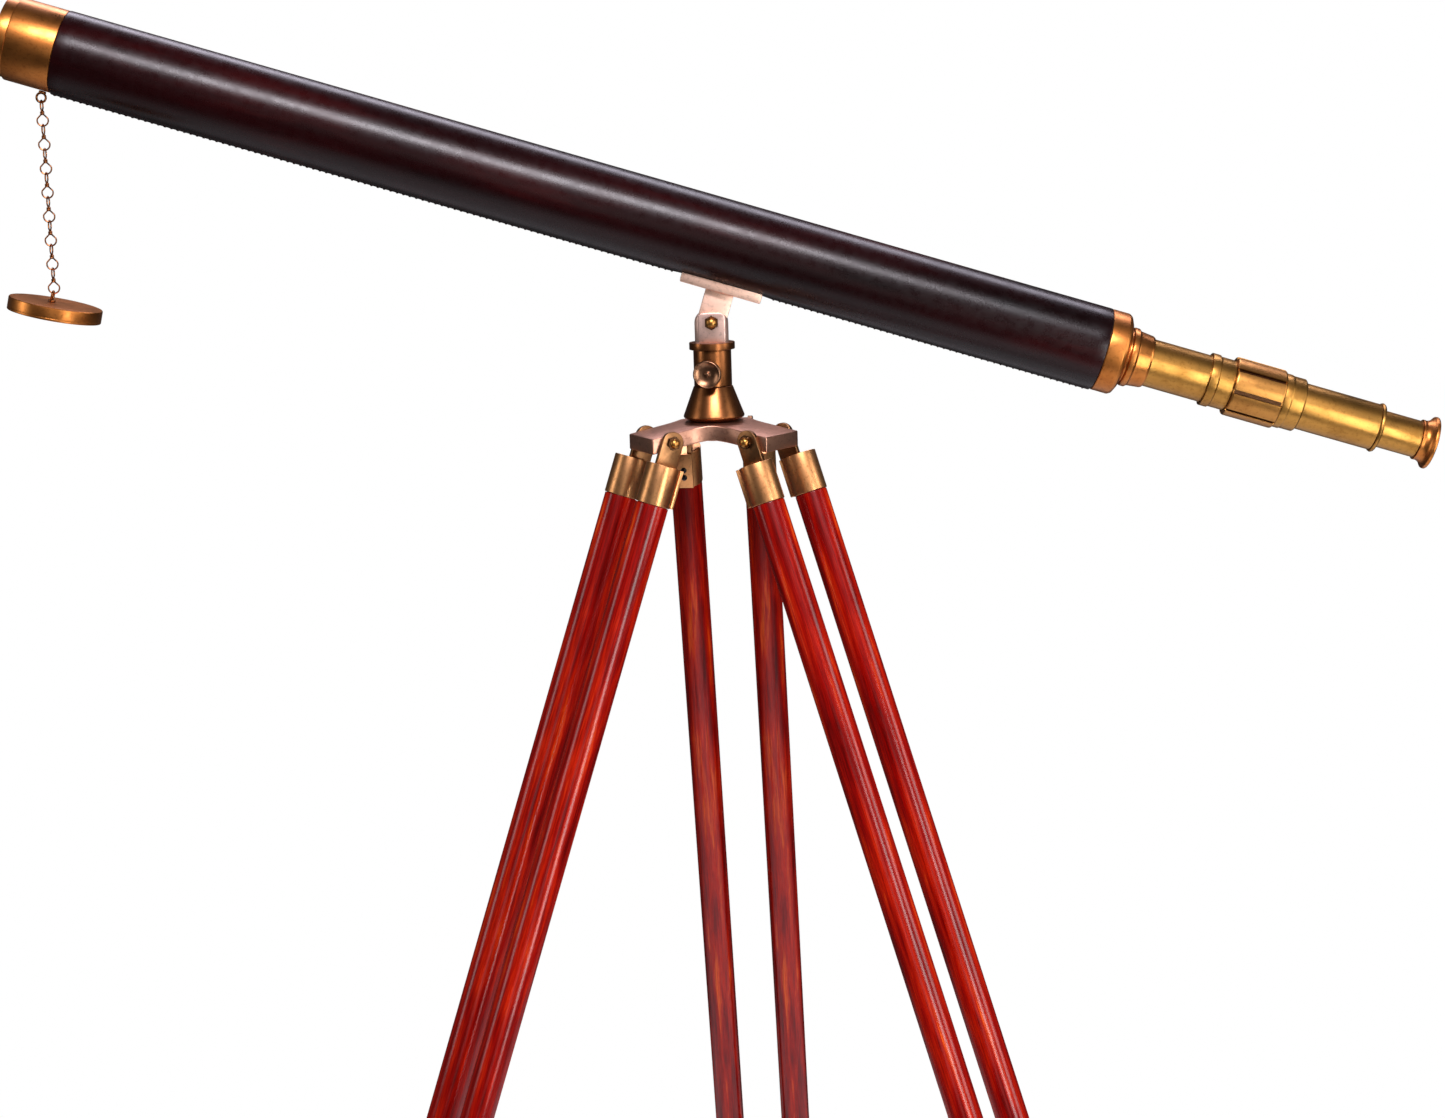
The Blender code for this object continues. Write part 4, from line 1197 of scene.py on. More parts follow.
    def fork(self, stand: Matrix) -> None:
        """Make the fork: a spindle and collar, with two cheeks standing on it.

        Args:
            stand: The upright frame at the tilt bolt.
        """
        collar = [
            (self.spindle_end, 0), (self.spindle_end, self.spindle_radius),
            (self.collar_bottom, self.spindle_radius),
            (self.collar_bottom, self.collar_radius), (self.collar_top, self.collar_radius),
            (self.collar_top, 0),
        ]
        piece = self.shop.lathe("tilt_fork_cast", rounded(collar, 0.5), stand, 96)
        self.shop.dress(piece, self.shop.material(Finish.BROWN, stand, "stand"))
        half, top, bend = self.fork_half, self.fork_top, self.fork_round
        outline = [(-half, self.collar_top - 0.5), (half, self.collar_top - 0.5)]
        outline += arc(half - bend, top - bend, bend, 0, 90, 12)
        outline += arc(-half + bend, top - bend, bend, 90, 180, 12)
        seat = stand @ UPRIGHT
        cheeks = self.shop.prism("cheeks", outline, -self.cheek, self.cheek, seat)
        edge = self.chamfer
        for x, y in ((-half, -1), (-half, 1), (half, -1), (half, 1)):
            inward = -math.copysign(edge, x)
            y *= self.cheek
            away = math.copysign(edge, y)
            corner = [(x + inward, y), (x, y - away), (x - inward, y - away)]
            corner += [(x - inward, y + away), (x + inward, y + away)]
            cut = self.shop.prism("corner", corner, -20, 20, stand)
            self.shop.combine(cheeks, cut, "DIFFERENCE")
        gap = self.slot_half
        slot = [(-gap, -11), (gap, -11), (gap, 20), (-gap, 20)]
        slot_seat = stand @ ALONG_X
        self.shop.combine(
            cheeks, self.shop.prism("slot", slot, -30, 30, slot_seat), "DIFFERENCE"
        )
        self.shop.ease(cheeks, 0.7)
        self.shop.bore(cheeks, stand @ ALONG_Y, -20, 20, BOLT_HOLE)
        self.shop.smooth(cheeks)
        cheeks.data.materials.clear()
        piece.data.materials.append(self.shop.material(Finish.FORK, stand, "fork"))
        for face in cheeks.data.polygons:
            face.material_index = 1
        self.shop.join(piece, cheeks)
        self.shop.stand_for(piece, "tilt_fork")


@dataclass
class Saddle(Part):
    """The plate under the tube, and the tongue between the fork's cheeks."""

    half_length: float = 29.0
    half_width: float = 10.0
    thick: float = 7.4
    drop: float = 5.2
    tongue_half: float = 10.0
    tongue_thick: float = 8.0
    leather_radius: float = 29.25

    def build(self) -> None:
        """Build the plate and the tongue."""
        tilt = self.layout.tilt()
        low = self.layout.axis_rise - self.leather_radius - self.drop
        half = self.half_length
        box = [(-half, low), (half, low), (half, low + self.thick), (-half, low + self.thick)]
        seat = tilt @ UPRIGHT
        width = self.half_width
        plate = self.shop.prism("saddle_plate_filed", box, -width, width, seat)
        self.shop.ease(plate, 0.8)
        self.shop.bore(plate, self.layout.tube(), -60, 60, self.leather_radius + FIT_GAP)
        self.shop.smooth(plate)
        self.shop.settle(plate, "saddle_plate", Finish.ROSE, tilt, "saddle")
        reach = self.tongue_half
        outline = [(reach, low - 0.3), (-reach, low - 0.3)] + arc(0, 0, reach, 180, 360, 32)
        thick = self.tongue_thick / 2
        tongue = self.shop.prism("tilt_tongue_filed", outline, -thick, thick, seat)
        self.shop.ease(tongue, 0.5)
        self.shop.bore(tongue, tilt @ ALONG_Y, -20, 20, BOLT_HOLE)
        self.shop.smooth(tongue)
        self.shop.settle(tongue, "tilt_tongue", Finish.ROSE, tilt, "saddle")


@dataclass(frozen=True)
class LensShape:
    """A lens: where its rim runs from and to, its radius, and how far its faces bulge."""

    front: float
    rear: float
    radius: float
    front_bulge: float
    rear_bulge: float

    def outline(self) -> Outline:
        """Outline of the lens.

        Returns:
            Points of (place, radius).
        """
        steps = 10
        inset = self.radius - 1.2
        shares = [i / steps for i in range(steps + 1)]
        points = [(self.front - self.front_bulge * (1 - s * s), s * inset) for s in shares]
        points += [(self.front, self.radius), (self.rear, self.radius)]
        points += [
            (self.rear + self.rear_bulge * (1 - s * s), s * inset) for s in reversed(shares)
        ]
        return points


@dataclass
class MainTube(Part):
    """The leather-covered tube, the rings at its ends and the objective."""

    leather_front: float = -481.0
    leather_rear: float = 268.0
    leather_radius: float = 29.25
    tube_radius: float = 28.05
    tube_bore: float = 26.55
    front: float = -522.0
    shoulder: float = -514.0
    seam_angle: float = -93.0
    seam_height: float = 0.55
    seam_half: float = 1.1
    stitch_pitch: float = 4.6
    saddle_half: float = 31.0

    def build(self) -> None:
        """Build the body of the telescope."""
        tube = self.layout.tube()
        bore, outer = self.tube_bore, self.tube_radius
        ends = (self.leather_front + 1, self.leather_rear + 8)
        outline = [(ends[0], bore), (ends[0], outer), (ends[1], outer), (ends[1], bore)]
        self.shop.turned("main_tube", outline, tube, Finish.BLACKENED, "tube", 0.2)
        self.leather(tube)
        self.rear_ring(tube)
        self.objective(tube)

    def seam(self, angle: float, place: float, radius: float) -> float:
        """Raise the leather's radius along its seam, and let it swell and sink a little.

        Args:
            angle: The angle round the tube.
            place: The place along it.
            radius: The radius before the change.

        Returns:
            The radius.
        """
        if radius < self.leather_radius - 0.6:
            return radius
        off = math.degrees(angle) - (self.seam_angle % 360)
        off = abs((off + 180) % 360 - 180) / math.degrees(self.seam_half / radius)
        clear = min(1.0, max(0.0, (abs(place) - self.saddle_half) / 4))
        ridge = self.seam_height * max(0.0, 1 - off * off) ** 0.5 * clear
        swell = 0.05 * math.sin(place * 0.021 + 2 * math.sin(angle)) - 0.05
        return radius + ridge + swell

    def leather(self, tube: Matrix) -> None:
        """Draw the leather over the tube, and stitch its seam.

        Args:
            tube: The frame on the telescope's axis.
        """
        rear, front = self.leather_rear - FIT_GAP, self.leather_front + FIT_GAP
        outer, inner = self.leather_radius, self.tube_radius + FIT_GAP
        outline = [(front, inner), (front, outer - 0.45), (front + 0.25, outer - 0.12)]
        steps = 110
        for i in range(steps + 1):
            outline.append((front + 0.8 + (rear - front - 1.6) * i / steps, outer))
        outline += [(rear - 0.25, outer - 0.12), (rear, outer - 0.45), (rear, inner)]
        piece = self.shop.lathe("leather_sleeve_sewn", outline, tube, 240, self.seam)
        self.shop.settle(piece, "leather_sleeve", Finish.LEATHER, tube, "tube")
        half = 1.45
        hump = []
        for i in range(7):
            share = i / 6 * 2 - 1
            hump.append(Vector((share * half, 0.42 * (1 - share**4), 0)))
        unit = self.shop.wire("stitch", [(hump, 0.36, False)], Matrix(), 6)
        thread = self.shop.material(Finish.THREAD, tube, "tube")
        seats = []
        place = front + 3
        while place < rear - 3:
            if abs(place) > self.saddle_half + 3:
                spot = turn(self.seam_angle - 90, "Z") @ shift(0, outer + 0.25, place)
                seats.append(tube @ spot @ turn(24, "Y"))
            place += self.stitch_pitch
        stitches = Repeater("stitching", unit, thread).make(self.shop, "seam_stitches", seats)
        bpy.data.objects.remove(unit, do_unlink=True)
        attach(stitches, self.shop.body("leather_sleeve"))

    def rear_ring(self, tube: Matrix) -> None:
        """Turn the ring that steps the tube down to the draw.

        Args:
            tube: The frame on the telescope's axis.
        """
        rear, sleeve = self.leather_rear, self.tube_radius + FIT_GAP
        outline = [
            (rear, sleeve), (rear, 28.6), (rear + 0.6, 29.1), (280, 29.1), (282, 28.0),
            (284, 24.0), (284, 18.8), (286, 18.8), (286, 20.4), (287, 21.0), (290, 21.0),
            (291.5, 19.6), (300.5, 18.6), (302, 17.9), (302, 17.2), (rear + 8.3, 17.2),
            (rear + 8.3, sleeve),
        ]
        self.shop.turned("rear_ring", outline, tube, Finish.COPPER, "tube", 0.35, 128)

    def objective(self, tube: Matrix) -> None:
        """Turn the objective's ferrule and front ring, and grind its two lenses.

        Args:
            tube: The frame on the telescope's axis.
        """
        bore, inner = 26.6, self.tube_bore - FIT_GAP
        shoulder = self.shoulder
        ferrule = [
            (shoulder + FIT_GAP, bore), (shoulder + FIT_GAP, 28.9), (self.leather_front, 28.9),
            (self.leather_front, inner), (-462, inner), (-462, 24.5), (-484, 24.5),
            (-484, bore),
        ]
        self.shop.turned("objective_ferrule", ferrule, tube, Finish.COPPER, "tube", 0.5, 128)
        ring = [
            (self.front, 24.5), (self.front, 27.5), (shoulder, 27.5), (shoulder, bore - FIT_GAP),
            (-500, bore - FIT_GAP), (-500, 23.5), (-508, 23.5),
        ]
        self.shop.turned("objective_ring", ring, tube, Finish.COPPER, "tube", 0.6, 128)
        crown = LensShape(-499.6, -493, bore - FIT_GAP, 3.4, 1.4)
        flint = LensShape(-490.6, -484.4, bore - FIT_GAP, -1.8, 0.3)
        self.shop.turned("crown_lens", crown.outline(), tube, Finish.GLASS, "tube", 0.1)
        self.shop.turned("flint_lens", flint.outline(), tube, Finish.GLASS, "tube", 0.1)


@dataclass
class DrawTubes(Part):
    """The draw, its grip, the erector and the eyepiece."""

    draw_radius: float = 16.85
    draw_end: float = 350.0
    barrel_front: float = 362.0
    barrel_rear: float = 398.0
    barrel_radius: float = 21.0
    groove_radius: float = 19.2
    grooves: int = 8
    groove_centre: float = 4.7
    groove_half: float = 3.7
    groove_reach: float = 17.0
    erector_radius: float = 16.5
    bead_rear: float = 472.0
    erector_end: float = 469.0
    eyepiece_radius: float = 13.2
    eyecup_front: float = 501.0

    def build(self) -> None:
        """Build everything that slides in the main tube."""
        tube = self.layout.tube()
        bore, radius, end = self.draw_radius - 1.1, self.draw_radius, self.draw_end
        draw = [(196, bore), (196, 26.2), (202, 26.2), (202, radius), (end, radius), (end, bore)]
        self.gold("draw_tube", draw, tube)
        coupling = [
            (344.5, radius + FIT_GAP), (344.5, 18.9), (350, 18.9), (351, 18.0),
            (self.barrel_front - FIT_GAP, 18.0), (self.barrel_front - FIT_GAP, bore),
            (end + FIT_GAP, bore),
            (end + FIT_GAP, radius + FIT_GAP),
        ]
        self.gold("coupling_ring", coupling, tube)
        self.barrel(tube)
        inner = self.erector_radius + FIT_GAP
        ring = [
            (self.barrel_rear + FIT_GAP, inner), (self.barrel_rear + FIT_GAP, 19.4), (403, 19.4),
            (404, 18.9), (412.6, 18.9), (413.6, 18.0), (413.6, inner),
        ]
        self.gold("barrel_end_ring", ring, tube)
        outer = self.erector_radius
        start, end = self.barrel_front + 1, self.erector_end
        tube_outline = [(start, outer - 1), (start, outer), (end, outer), (end, outer - 1)]
        self.gold("erector_tube", tube_outline, tube)
        small = self.eyepiece_radius + FIT_GAP
        collar = [
            (end - 10, small), (end - 10, outer - 1.3), (end + FIT_GAP, outer - 1.3),
            (end + FIT_GAP, 17.2), (end + 1.6, 17.75), (self.bead_rear, 17.0),
            (self.bead_rear, small),
        ]
        self.gold("eyepiece_collar", collar, tube)
        for node, front in (("erector_front_lens", 368), ("erector_rear_lens", 404)):
            lens = LensShape(front, front + 3, outer - 1.3, 1, 1)
            self.shop.turned(node, lens.outline(), tube, Finish.GLASS, "tube", 0.1)
        self.eyepiece(tube)

    def gold(self, node: str, outline: Outline, tube: Matrix) -> None:
        """Turn a yellow brass piece on the telescope's axis."""
        self.shop.turned(node, outline, tube, Finish.GOLD, "tube", 0.3)

    def fluted(self, angle: float, place: float, radius: float) -> float:
        """Cut a radius back where the grip's lengthways grooves run.

        Args:
            angle: The angle round the tube.
            place: The place along it, which makes no difference.
            radius: The radius before the cut.

        Returns:
            The radius.
        """
        pitch = 360 / self.grooves
        off = (math.degrees(angle) - self.groove_centre + pitch / 2) % pitch - pitch / 2
        rise = min(1.0, max(0.0, abs(off) - self.groove_half + 0.5))
        ease = rise * rise * (3 - 2 * rise)
        return min(radius, self.groove_radius + 2.0 * ease)

    def barrel(self, tube: Matrix) -> None:
        """Turn the grip, cut its grooves and darken their floors with painted shade.

        Args:
            tube: The frame on the telescope's axis.
        """
        inner, outer = self.erector_radius + FIT_GAP, self.barrel_radius
        front, rear = self.barrel_front, self.barrel_rear
        outline = [(front, inner), (front, outer - 0.9), (front + 0.3, outer - 0.3)]
        outline += [(front + 1.2, outer), (rear - 1.2, outer), (rear - 0.3, outer - 0.3)]
        outline += [(rear, outer - 0.9), (rear, inner)]
        piece = self.shop.turned(
            "focus_barrel", outline, tube, Finish.GRIP, "tube", 0.2, 720, self.fluted
        )
        # The groove floors get the dark brass: painted shade in the recesses.
        piece.data.materials.append(self.shop.material(Finish.PAINTED_SHADE, tube, "tube"))
        to_seat = tube.inverted()
        middle = (front + rear) / 2
        for face in piece.data.polygons:
            spot = to_seat @ face.center / MM
            sunk = inner + 0.5 < spot.xy.length < outer - 0.9
            if sunk and abs(spot.z - middle) < self.groove_reach:
                face.material_index = 1

    def eyepiece(self, tube: Matrix) -> None:
        """Turn the eyepiece's tube and flared cup, and grind its lenses.

        Args:
            tube: The frame on the telescope's axis.
        """
        outer = self.eyepiece_radius
        bore, front = outer - 1.2, self.eyecup_front
        sleeve = [(436, bore), (436, outer), (front - FIT_GAP, outer), (front - FIT_GAP, bore)]
        self.gold("eyepiece_tube", sleeve, tube)
        cup = [
            (front, 9.5), (front, 14.5), (front + 1.2, 14.5), (front + 2.2, 14.3),
            (front + 3.4, 14.5), (front + 4.5, 14.9), (front + 5.6, 15.6), (front + 6.6, 16.6),
            (front + 7.3, 17.6), (front + 8.0, 18.6), (front + 9.0, 18.75),
            (front + 9.9, 18.75), (front + 10.4, 18.2), (front + 9.6, 16.8),
            (front + 7.4, 14.2), (front + 5.5, 12.2), (front + 3.8, 10.6), (front + 2.5, 9.5),
        ]
        self.shop.turned("eyecup", cup, tube, Finish.COPPER, "tube", 0.35)
        for node, start in (("field_lens", 452), ("eye_lens", 495)):
            lens = LensShape(start, start + 3, bore - FIT_GAP, 1.2, 0.2)
            self.shop.turned(node, lens.outline(), tube, Finish.GLASS, "tube", 0.1)


@dataclass
class ChainAndCap(Part):
    """The lens cap on its figure-of-eight chain, and the eyelets that hold it."""

    eyelet_radius: float = 3.2
    eyelet_wire: float = 0.8
    link_wire: float = 0.55
    link_end: float = 3.85
    link_length: float = 17.59
    links: int = 4
    first_top: float = -1.85
    lower_top: float = -67.8
    lower_drop: float = -131.15
    cap_radius: float = 32.5
    cap_depth: float = 9.3
    cap_wall: float = 1.5
    cap_tip: float = 12.9
    cap_offset: float = 3.0

    def build(self) -> None:
        """Build the chain and the cap."""
        seat = self.layout.chain()
        tilted = self.layout.tilt() @ shift(self.layout.chain_place, 0, self.layout.chain_centre)
        stud = self.eyelet_radius + 1.4
        self.eyelet("chain_eyelet", tilted, 0.0, stud, "XZ", "tube_eyelet")
        unit = self.link()
        brass = self.shop.material(Finish.BROWN, seat, "chain")
        tool = Repeater("chain_links", unit, brass)
        for node, top in (("chain_upper", self.first_top), ("chain_lower", self.lower_top)):
            pitch = self.link_length - 2 * self.link_wire
            drop = top - self.link_length / 2
            seats = [seat @ shift(0, 0, drop - pitch * i) for i in range(self.links)]
            links = tool.make(self.shop, f"{node}_links", seats)
            self.shop.stand_for(links, node)
        bpy.data.objects.remove(unit, do_unlink=True)
        self.cap(seat @ shift(0, 0, self.lower_drop) @ turn(self.cap_tip, "Y"))

    def ring(self, radius: float, plane: str, height: float) -> list[Vector]:
        """Points of a ring that lies in the XZ or the YZ plane.

        Args:
            radius: The ring's radius.
            plane: XZ or YZ.
            height: Where its middle is along Z.

        Returns:
            The points.
        """
        points = []
        for i in range(32):
            angle = 2 * math.pi * i / 32
            u, v = radius * math.cos(angle), height + radius * math.sin(angle)
            points.append(Vector((u, 0, v)) if plane == "XZ" else Vector((0, u, v)))
        return points

    def eyelet(
        self, node: str, seat: Matrix, height: float, base: float, plane: str, key: str
    ) -> None:
        """Make a ring of wire that is soldered to a round stud.

        Args:
            node: The node that it stands for.
            seat: An upright frame.
            height: Where the ring's middle is along Z.
            base: Where the stud's flat face is along Z.
            plane: The plane that the ring lies in.
            key: Names the seat for its finish.
        """
        paths = [(self.ring(self.eyelet_radius, plane, height), self.eyelet_wire, True)]
        ring = self.shop.wire(f"{node}_ring", paths, seat, 14)
        away = 1.4 if base > height else -1.4
        outline = rounded([(base, 0), (base, 2.6), (base - away, 2.6), (base - away, 0)], 0.5)
        stud = self.shop.lathe(f"{node}_stud", outline, seat, 40)
        self.shop.join(ring, stud)
        self.shop.settle(ring, node, Finish.BROWN, seat, key)

    def loop(self, plane: str, way: int) -> list[Vector]:
        """Points of one eye of a link: round at its end and drawn in at the waist.

        Args:
            plane: XZ or YZ.
            way: 1 for the upper eye, -1 for the lower.

        Returns:
            The points.
        """
        reach = self.link_length / 2
        centre = reach - self.link_end
        points = []
        for x, z in arc(0, centre, self.link_end, -20, 200, 22):
            points.append((x, z))
        points += [(-1.9, 1.9), (-0.75, 0.75), (-0.5, 0.0), (0.5, 0.0), (0.75, 0.75), (1.9, 1.9)]
        flat = [(x, way * z) for x, z in points]
        if plane == "XZ":
            return [Vector((x, 0, z)) for x, z in flat]
        return [Vector((0, x, z)) for x, z in flat]

    def link(self) -> bpy.types.Object:
        """Bend one link: two eyes a quarter turn apart, bound at the waist.

        Returns:
            The link.
        """
        coil = []
        for i in range(37):
            angle = 2 * math.pi * i / 12
            coil.append(Vector((1.15 * math.cos(angle), 1.15 * math.sin(angle), -1.2 + i / 15)))
        paths = [
            (self.loop("YZ", 1), self.link_wire, True),
            (self.loop("XZ", -1), self.link_wire, True), (coil, 0.45, False),
        ]
        return self.shop.wire("link", paths, Matrix(), 8)

    def cap(self, seat: Matrix) -> None:
        """Press the cap, and solder its eyelet on.

        Args:
            seat: The frame at the chain's lower end, tipped as the cap hangs.
        """
        middle = -4.25 + 1.9 - self.eyelet_radius
        top = middle - self.eyelet_radius - 1.2
        self.eyelet("cap_eyelet", seat, middle, top + FIT_GAP, "YZ", "cap")
        inner = self.cap_radius - self.cap_wall
        low = top - self.cap_depth
        outline = [
            (top, 0), (top, 20.0), (top, self.cap_radius), (low + 1.9, self.cap_radius),
            (low + 1.7, self.cap_radius - 0.2), (low + 1.5, self.cap_radius),
            (low, self.cap_radius), (low, inner), (top - self.cap_wall, inner),
            (top - self.cap_wall, 0),
        ]
        place = seat @ shift(self.cap_offset, 0, 0)
        self.shop.turned("lens_cap", outline, place, Finish.COPPER, "cap", 1.1, 128)


@dataclass
class Leg(Part):
    """One leg: two rods in ferrules on a hinge bolt, a clamp, and a sliding lower rod."""

    letter: str = "a"
    azimuth: float = 205.2
    offset: float = 4.0
    spacing: float = 27.0
    rod_radius: float = 11.4
    tenon: float = 10.2
    ferrule_radius: float = 12.0
    ferrule_top: float = 16.5
    ferrule_end: float = 44.5
    ear_half: float = 8.0
    ear_inner: float = 20.4
    ear_thick: float = 3.5
    rod_end: float = 766.0
    clamp_top: float = 736.0
    clamp_end: float = 770.0
    clamp_lock: float = 753.0
    lower_top: float = 660.0
    lower_end: float = 1378.0
    foot_top: float = 1338.0
    foot_tip: float = 1440.0
    screw_drops: tuple[float, float] = (29.5, 35.5)
    nut: Nut = Nut(4.2, 2.4, 2.8)

    def build(self) -> None:
        """Build the leg."""
        seat = self.layout.leg(self.azimuth)
        name = f"leg_{self.letter}"
        grip = 2 * (self.ear_inner + self.ear_thick + FIT_GAP)
        self.bolt(f"{name}_bolt", seat @ ALONG_Y, f"{name}_bolt", grip, self.nut)
        for side, word in ((-1, "left"), (1, "right")):
            self.ferrule(f"{name}_ferrule_{word}", seat, side)
            place = seat @ shift(self.offset, side * self.spacing, 0)
            top, end = -self.ferrule_top - 3 - FIT_GAP, -self.ferrule_end - FIT_GAP
            outline = [(top, 0), (top, self.tenon), (end, self.tenon), (end, self.rod_radius)]
            outline += [(-self.rod_end, self.rod_radius), (-self.rod_end, 0)]
            self.rod(f"{name}_rod_{word}", outline, place)
        self.screws(f"{name}_ferrule_screws", seat, f"{name}_ferrule_left")
        self.clamp(f"{name}_clamp", seat)
        lock = seat @ shift(self.offset, 0, -self.clamp_lock) @ ALONG_X
        self.knob(f"{name}_lock_knob", lock, f"{name}_lock", 12.4, 19.5, 25.0, 8.5)
        outline = [(-self.lower_top, 0), (-self.lower_top, self.rod_radius)]
        shoulder = -self.foot_top + FIT_GAP
        outline += [(shoulder, self.rod_radius), (shoulder, self.tenon)]
        outline += [(-self.lower_end, self.tenon), (-self.lower_end, 0)]
        self.rod(f"{name}_lower_rod", outline, seat @ shift(self.offset, 0, 0))
        self.foot(f"{name}_foot", seat)

    def rod(self, node: str, outline: Outline, seat: Matrix) -> None:
        """Turn a wooden rod, with its own run of the grain.

        Args:
            node: The node that it stands for.
            outline: See Workshop.lathe.
            seat: The frame of the rod's axis.
        """
        piece = self.shop.lathe(f"{node}_turned", rounded(outline, 0.5), seat, 64)
        wood = Mahogany(f"mahogany_{node}")
        self.shop.settle(piece, node, wood, seat, node)

    def ferrule(self, node: str, seat: Matrix, side: int) -> None:
        """Make a ferrule: a cup, a flat pad down one side of it, and an ear.

        Args:
            node: The node that it stands for.
            seat: The leg's frame.
            side: -1 or 1, for which end of the hinge bolt it is at.
        """
        place = seat @ shift(self.offset, side * self.spacing, 0)
        top, end, bore = -self.ferrule_top, -self.ferrule_end, self.tenon + FIT_GAP
        outline = [(top, 0), (top, self.ferrule_radius), (end, self.ferrule_radius)]
        outline += [(end, bore), (top - 3, bore), (top - 3, 0)]
        cup = self.shop.lathe(f"{node}_turned", rounded(outline, 0.6), place, 96)
        y, half = side * self.spacing, 6.5
        box = [(-9.4, y - half), (-6.6, y - half), (-6.6, y + half), (-9.4, y + half)]
        pad = self.shop.prism(f"{node}_pad", box, end + 0.5, top - 0.2, seat)
        self.shop.ease(pad, 0.5)
        near, far = side * self.ear_inner, side * (self.ear_inner + self.ear_thick)
        ear_seat = seat @ UPRIGHT
        reach = self.ear_half
        shape = [(-reach, top - 0.7), (reach, top - 0.7)] + arc(0, 0, reach, 0, 180, 28)
        ear = self.shop.prism(f"{node}_ear", shape, min(-near, -far), max(-near, -far), ear_seat)
        self.shop.ease(ear, 0.5)
        self.shop.bore(ear, seat @ ALONG_Y, min(near, far) - 2, max(near, far) + 2, BOLT_HOLE)
        self.shop.smooth(ear)
        self.shop.smooth(pad)
        self.shop.join(cup, pad, ear)
        self.shop.dress(cup, self.shop.material(Finish.FERRULE, place, node))
        # The ear, above the cup's top, gets the darkened brass: painted shade on its flat plate.
        cup.data.materials.append(self.shop.material(Finish.EAR_PAINTED_SHADE, place, node))
        to_seat = seat.inverted()
        for face in cup.data.polygons:
            if (to_seat @ face.center).z > (top + 0.2) * MM:
                face.material_index = 1
        self.shop.stand_for(cup, node)

    def screws(self, name: str, seat: Matrix, beside: str) -> None:
        """Drive two round-headed screws through each ferrule's pad.

        Args:
            name: The new piece's name.
            seat: The leg's frame.
            beside: The node whose body the screws ride on.
        """
        head = [(-0.3, 0), (-0.3, 2.1), (0.2, 2.2)]
        head += [(0.2 + 1.7 * math.sin(a), 2.2 * math.cos(a)) for a in (0.3, 0.6, 0.9, 1.2)]
        head += [(1.9, 0)]
        unit = self.shop.lathe("screw", head, Matrix(), 20)
        seats = []
        for side in (-1, 1):
            for drop in self.screw_drops:
                spot = seat @ shift(-9.4, side * self.spacing, -drop)
                seats.append(spot @ turn(-90, "Y") @ turn(37 * drop, "Z"))
        steel = self.shop.material(Finish.BLACK_STEEL, seat, name)
        screws = Repeater(f"{name}_tree", unit, steel).make(self.shop, name, seats)
        bpy.data.objects.remove(unit, do_unlink=True)
        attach(screws, self.shop.body(beside))

    def clamp(self, node: str, seat: Matrix) -> None:
        """Cast the clamp that ties the two rods and grips the lower one.

        Args:
            node: The node that it stands for.
            seat: The leg's frame.
        """
        bore = self.rod_radius + FIT_GAP
        middle, socket, neck = bore + 3.2, bore + 2.6, 6.0
        a = math.degrees(math.acos(neck / middle))
        b = math.degrees(math.acos(neck / socket))
        outline = arc(self.offset, 0, middle, -a, a, 16)
        outline += arc(self.offset, self.spacing, socket, -b, 180 + b, 40)
        outline += arc(self.offset, 0, middle, 180 - a, 180 + a, 16)
        outline += arc(self.offset, -self.spacing, socket, 180 - b, 360 + b, 40)
        low, high = -self.clamp_end, -self.clamp_top
        body = self.shop.prism(f"{node}_cast", outline, low, high, seat)
        self.shop.ease(body, 0.8)
        for y in (-self.spacing, self.spacing):
            place = seat @ shift(self.offset, y, 0)
            self.shop.bore(body, place, -self.rod_end - FIT_GAP, high + 5, bore)
        self.shop.bore(body, seat @ shift(self.offset, 0, 0), low - 5, high + 5, bore)
        lock = seat @ shift(self.offset, 0, -self.clamp_lock) @ ALONG_X
        self.shop.bore(body, lock, 5, 25, LOCK_HOLE)
        self.shop.smooth(body)
        inner, outer = 13.0, 19.0
        collar = [(inner, LOCK_HOLE), (inner, 6.0), (outer, 6.0), (outer, LOCK_HOLE)]
        boss = self.shop.lathe(f"{node}_boss", rounded(collar, 0.5), lock, 64)
        self.shop.join(body, boss)
        self.shop.settle(body, node, Finish.FERRULE, seat, f"{node}_cast")

    def foot(self, node: str, seat: Matrix) -> None:
        """Turn the foot and trim it level with the floor.

        Args:
            node: The node that it stands for.
            seat: The leg's frame.
        """
        bore, top, end = self.tenon + FIT_GAP, -self.foot_top, -self.lower_end
        outline = [(top, bore), (top, 12.5), (top - 5, 12.5), (top - 5.5, 12.0)]
        outline += [(end - 4, 12.0), (end - 8, 10.8), (-self.foot_tip, 5.0), (-self.foot_tip, 0)]
        outline += [(end - FIT_GAP, 0), (end - FIT_GAP, bore)]
        place = seat @ shift(self.offset, 0, 0)
        points = rounded(outline[:-2], 0.6)[:-1] + outline[-3:]
        piece = self.shop.lathe(f"{node}_turned", points, place, 64)
        bm = bmesh.new()
        bm.from_mesh(piece.data)
        everything = bm.verts[:] + bm.edges[:] + bm.faces[:]
        cut = bmesh.ops.bisect_plane(
            bm,
            geom=everything,
            plane_co=Vector(),
            plane_no=Vector((0, 0, -1)),
            clear_outer=True,
            dist=1e-7,
        )
        edges = [item for item in cut["geom_cut"] if isinstance(item, bmesh.types.BMEdge)]
        bmesh.ops.edgeloop_fill(bm, edges=edges)
        bm.to_mesh(piece.data)
        bm.free()
        self.shop.smooth(piece)
        self.shop.settle(piece, node, Finish.FERRULE, place, node)


# ---------------------------------------------------------------- floor, light and camera


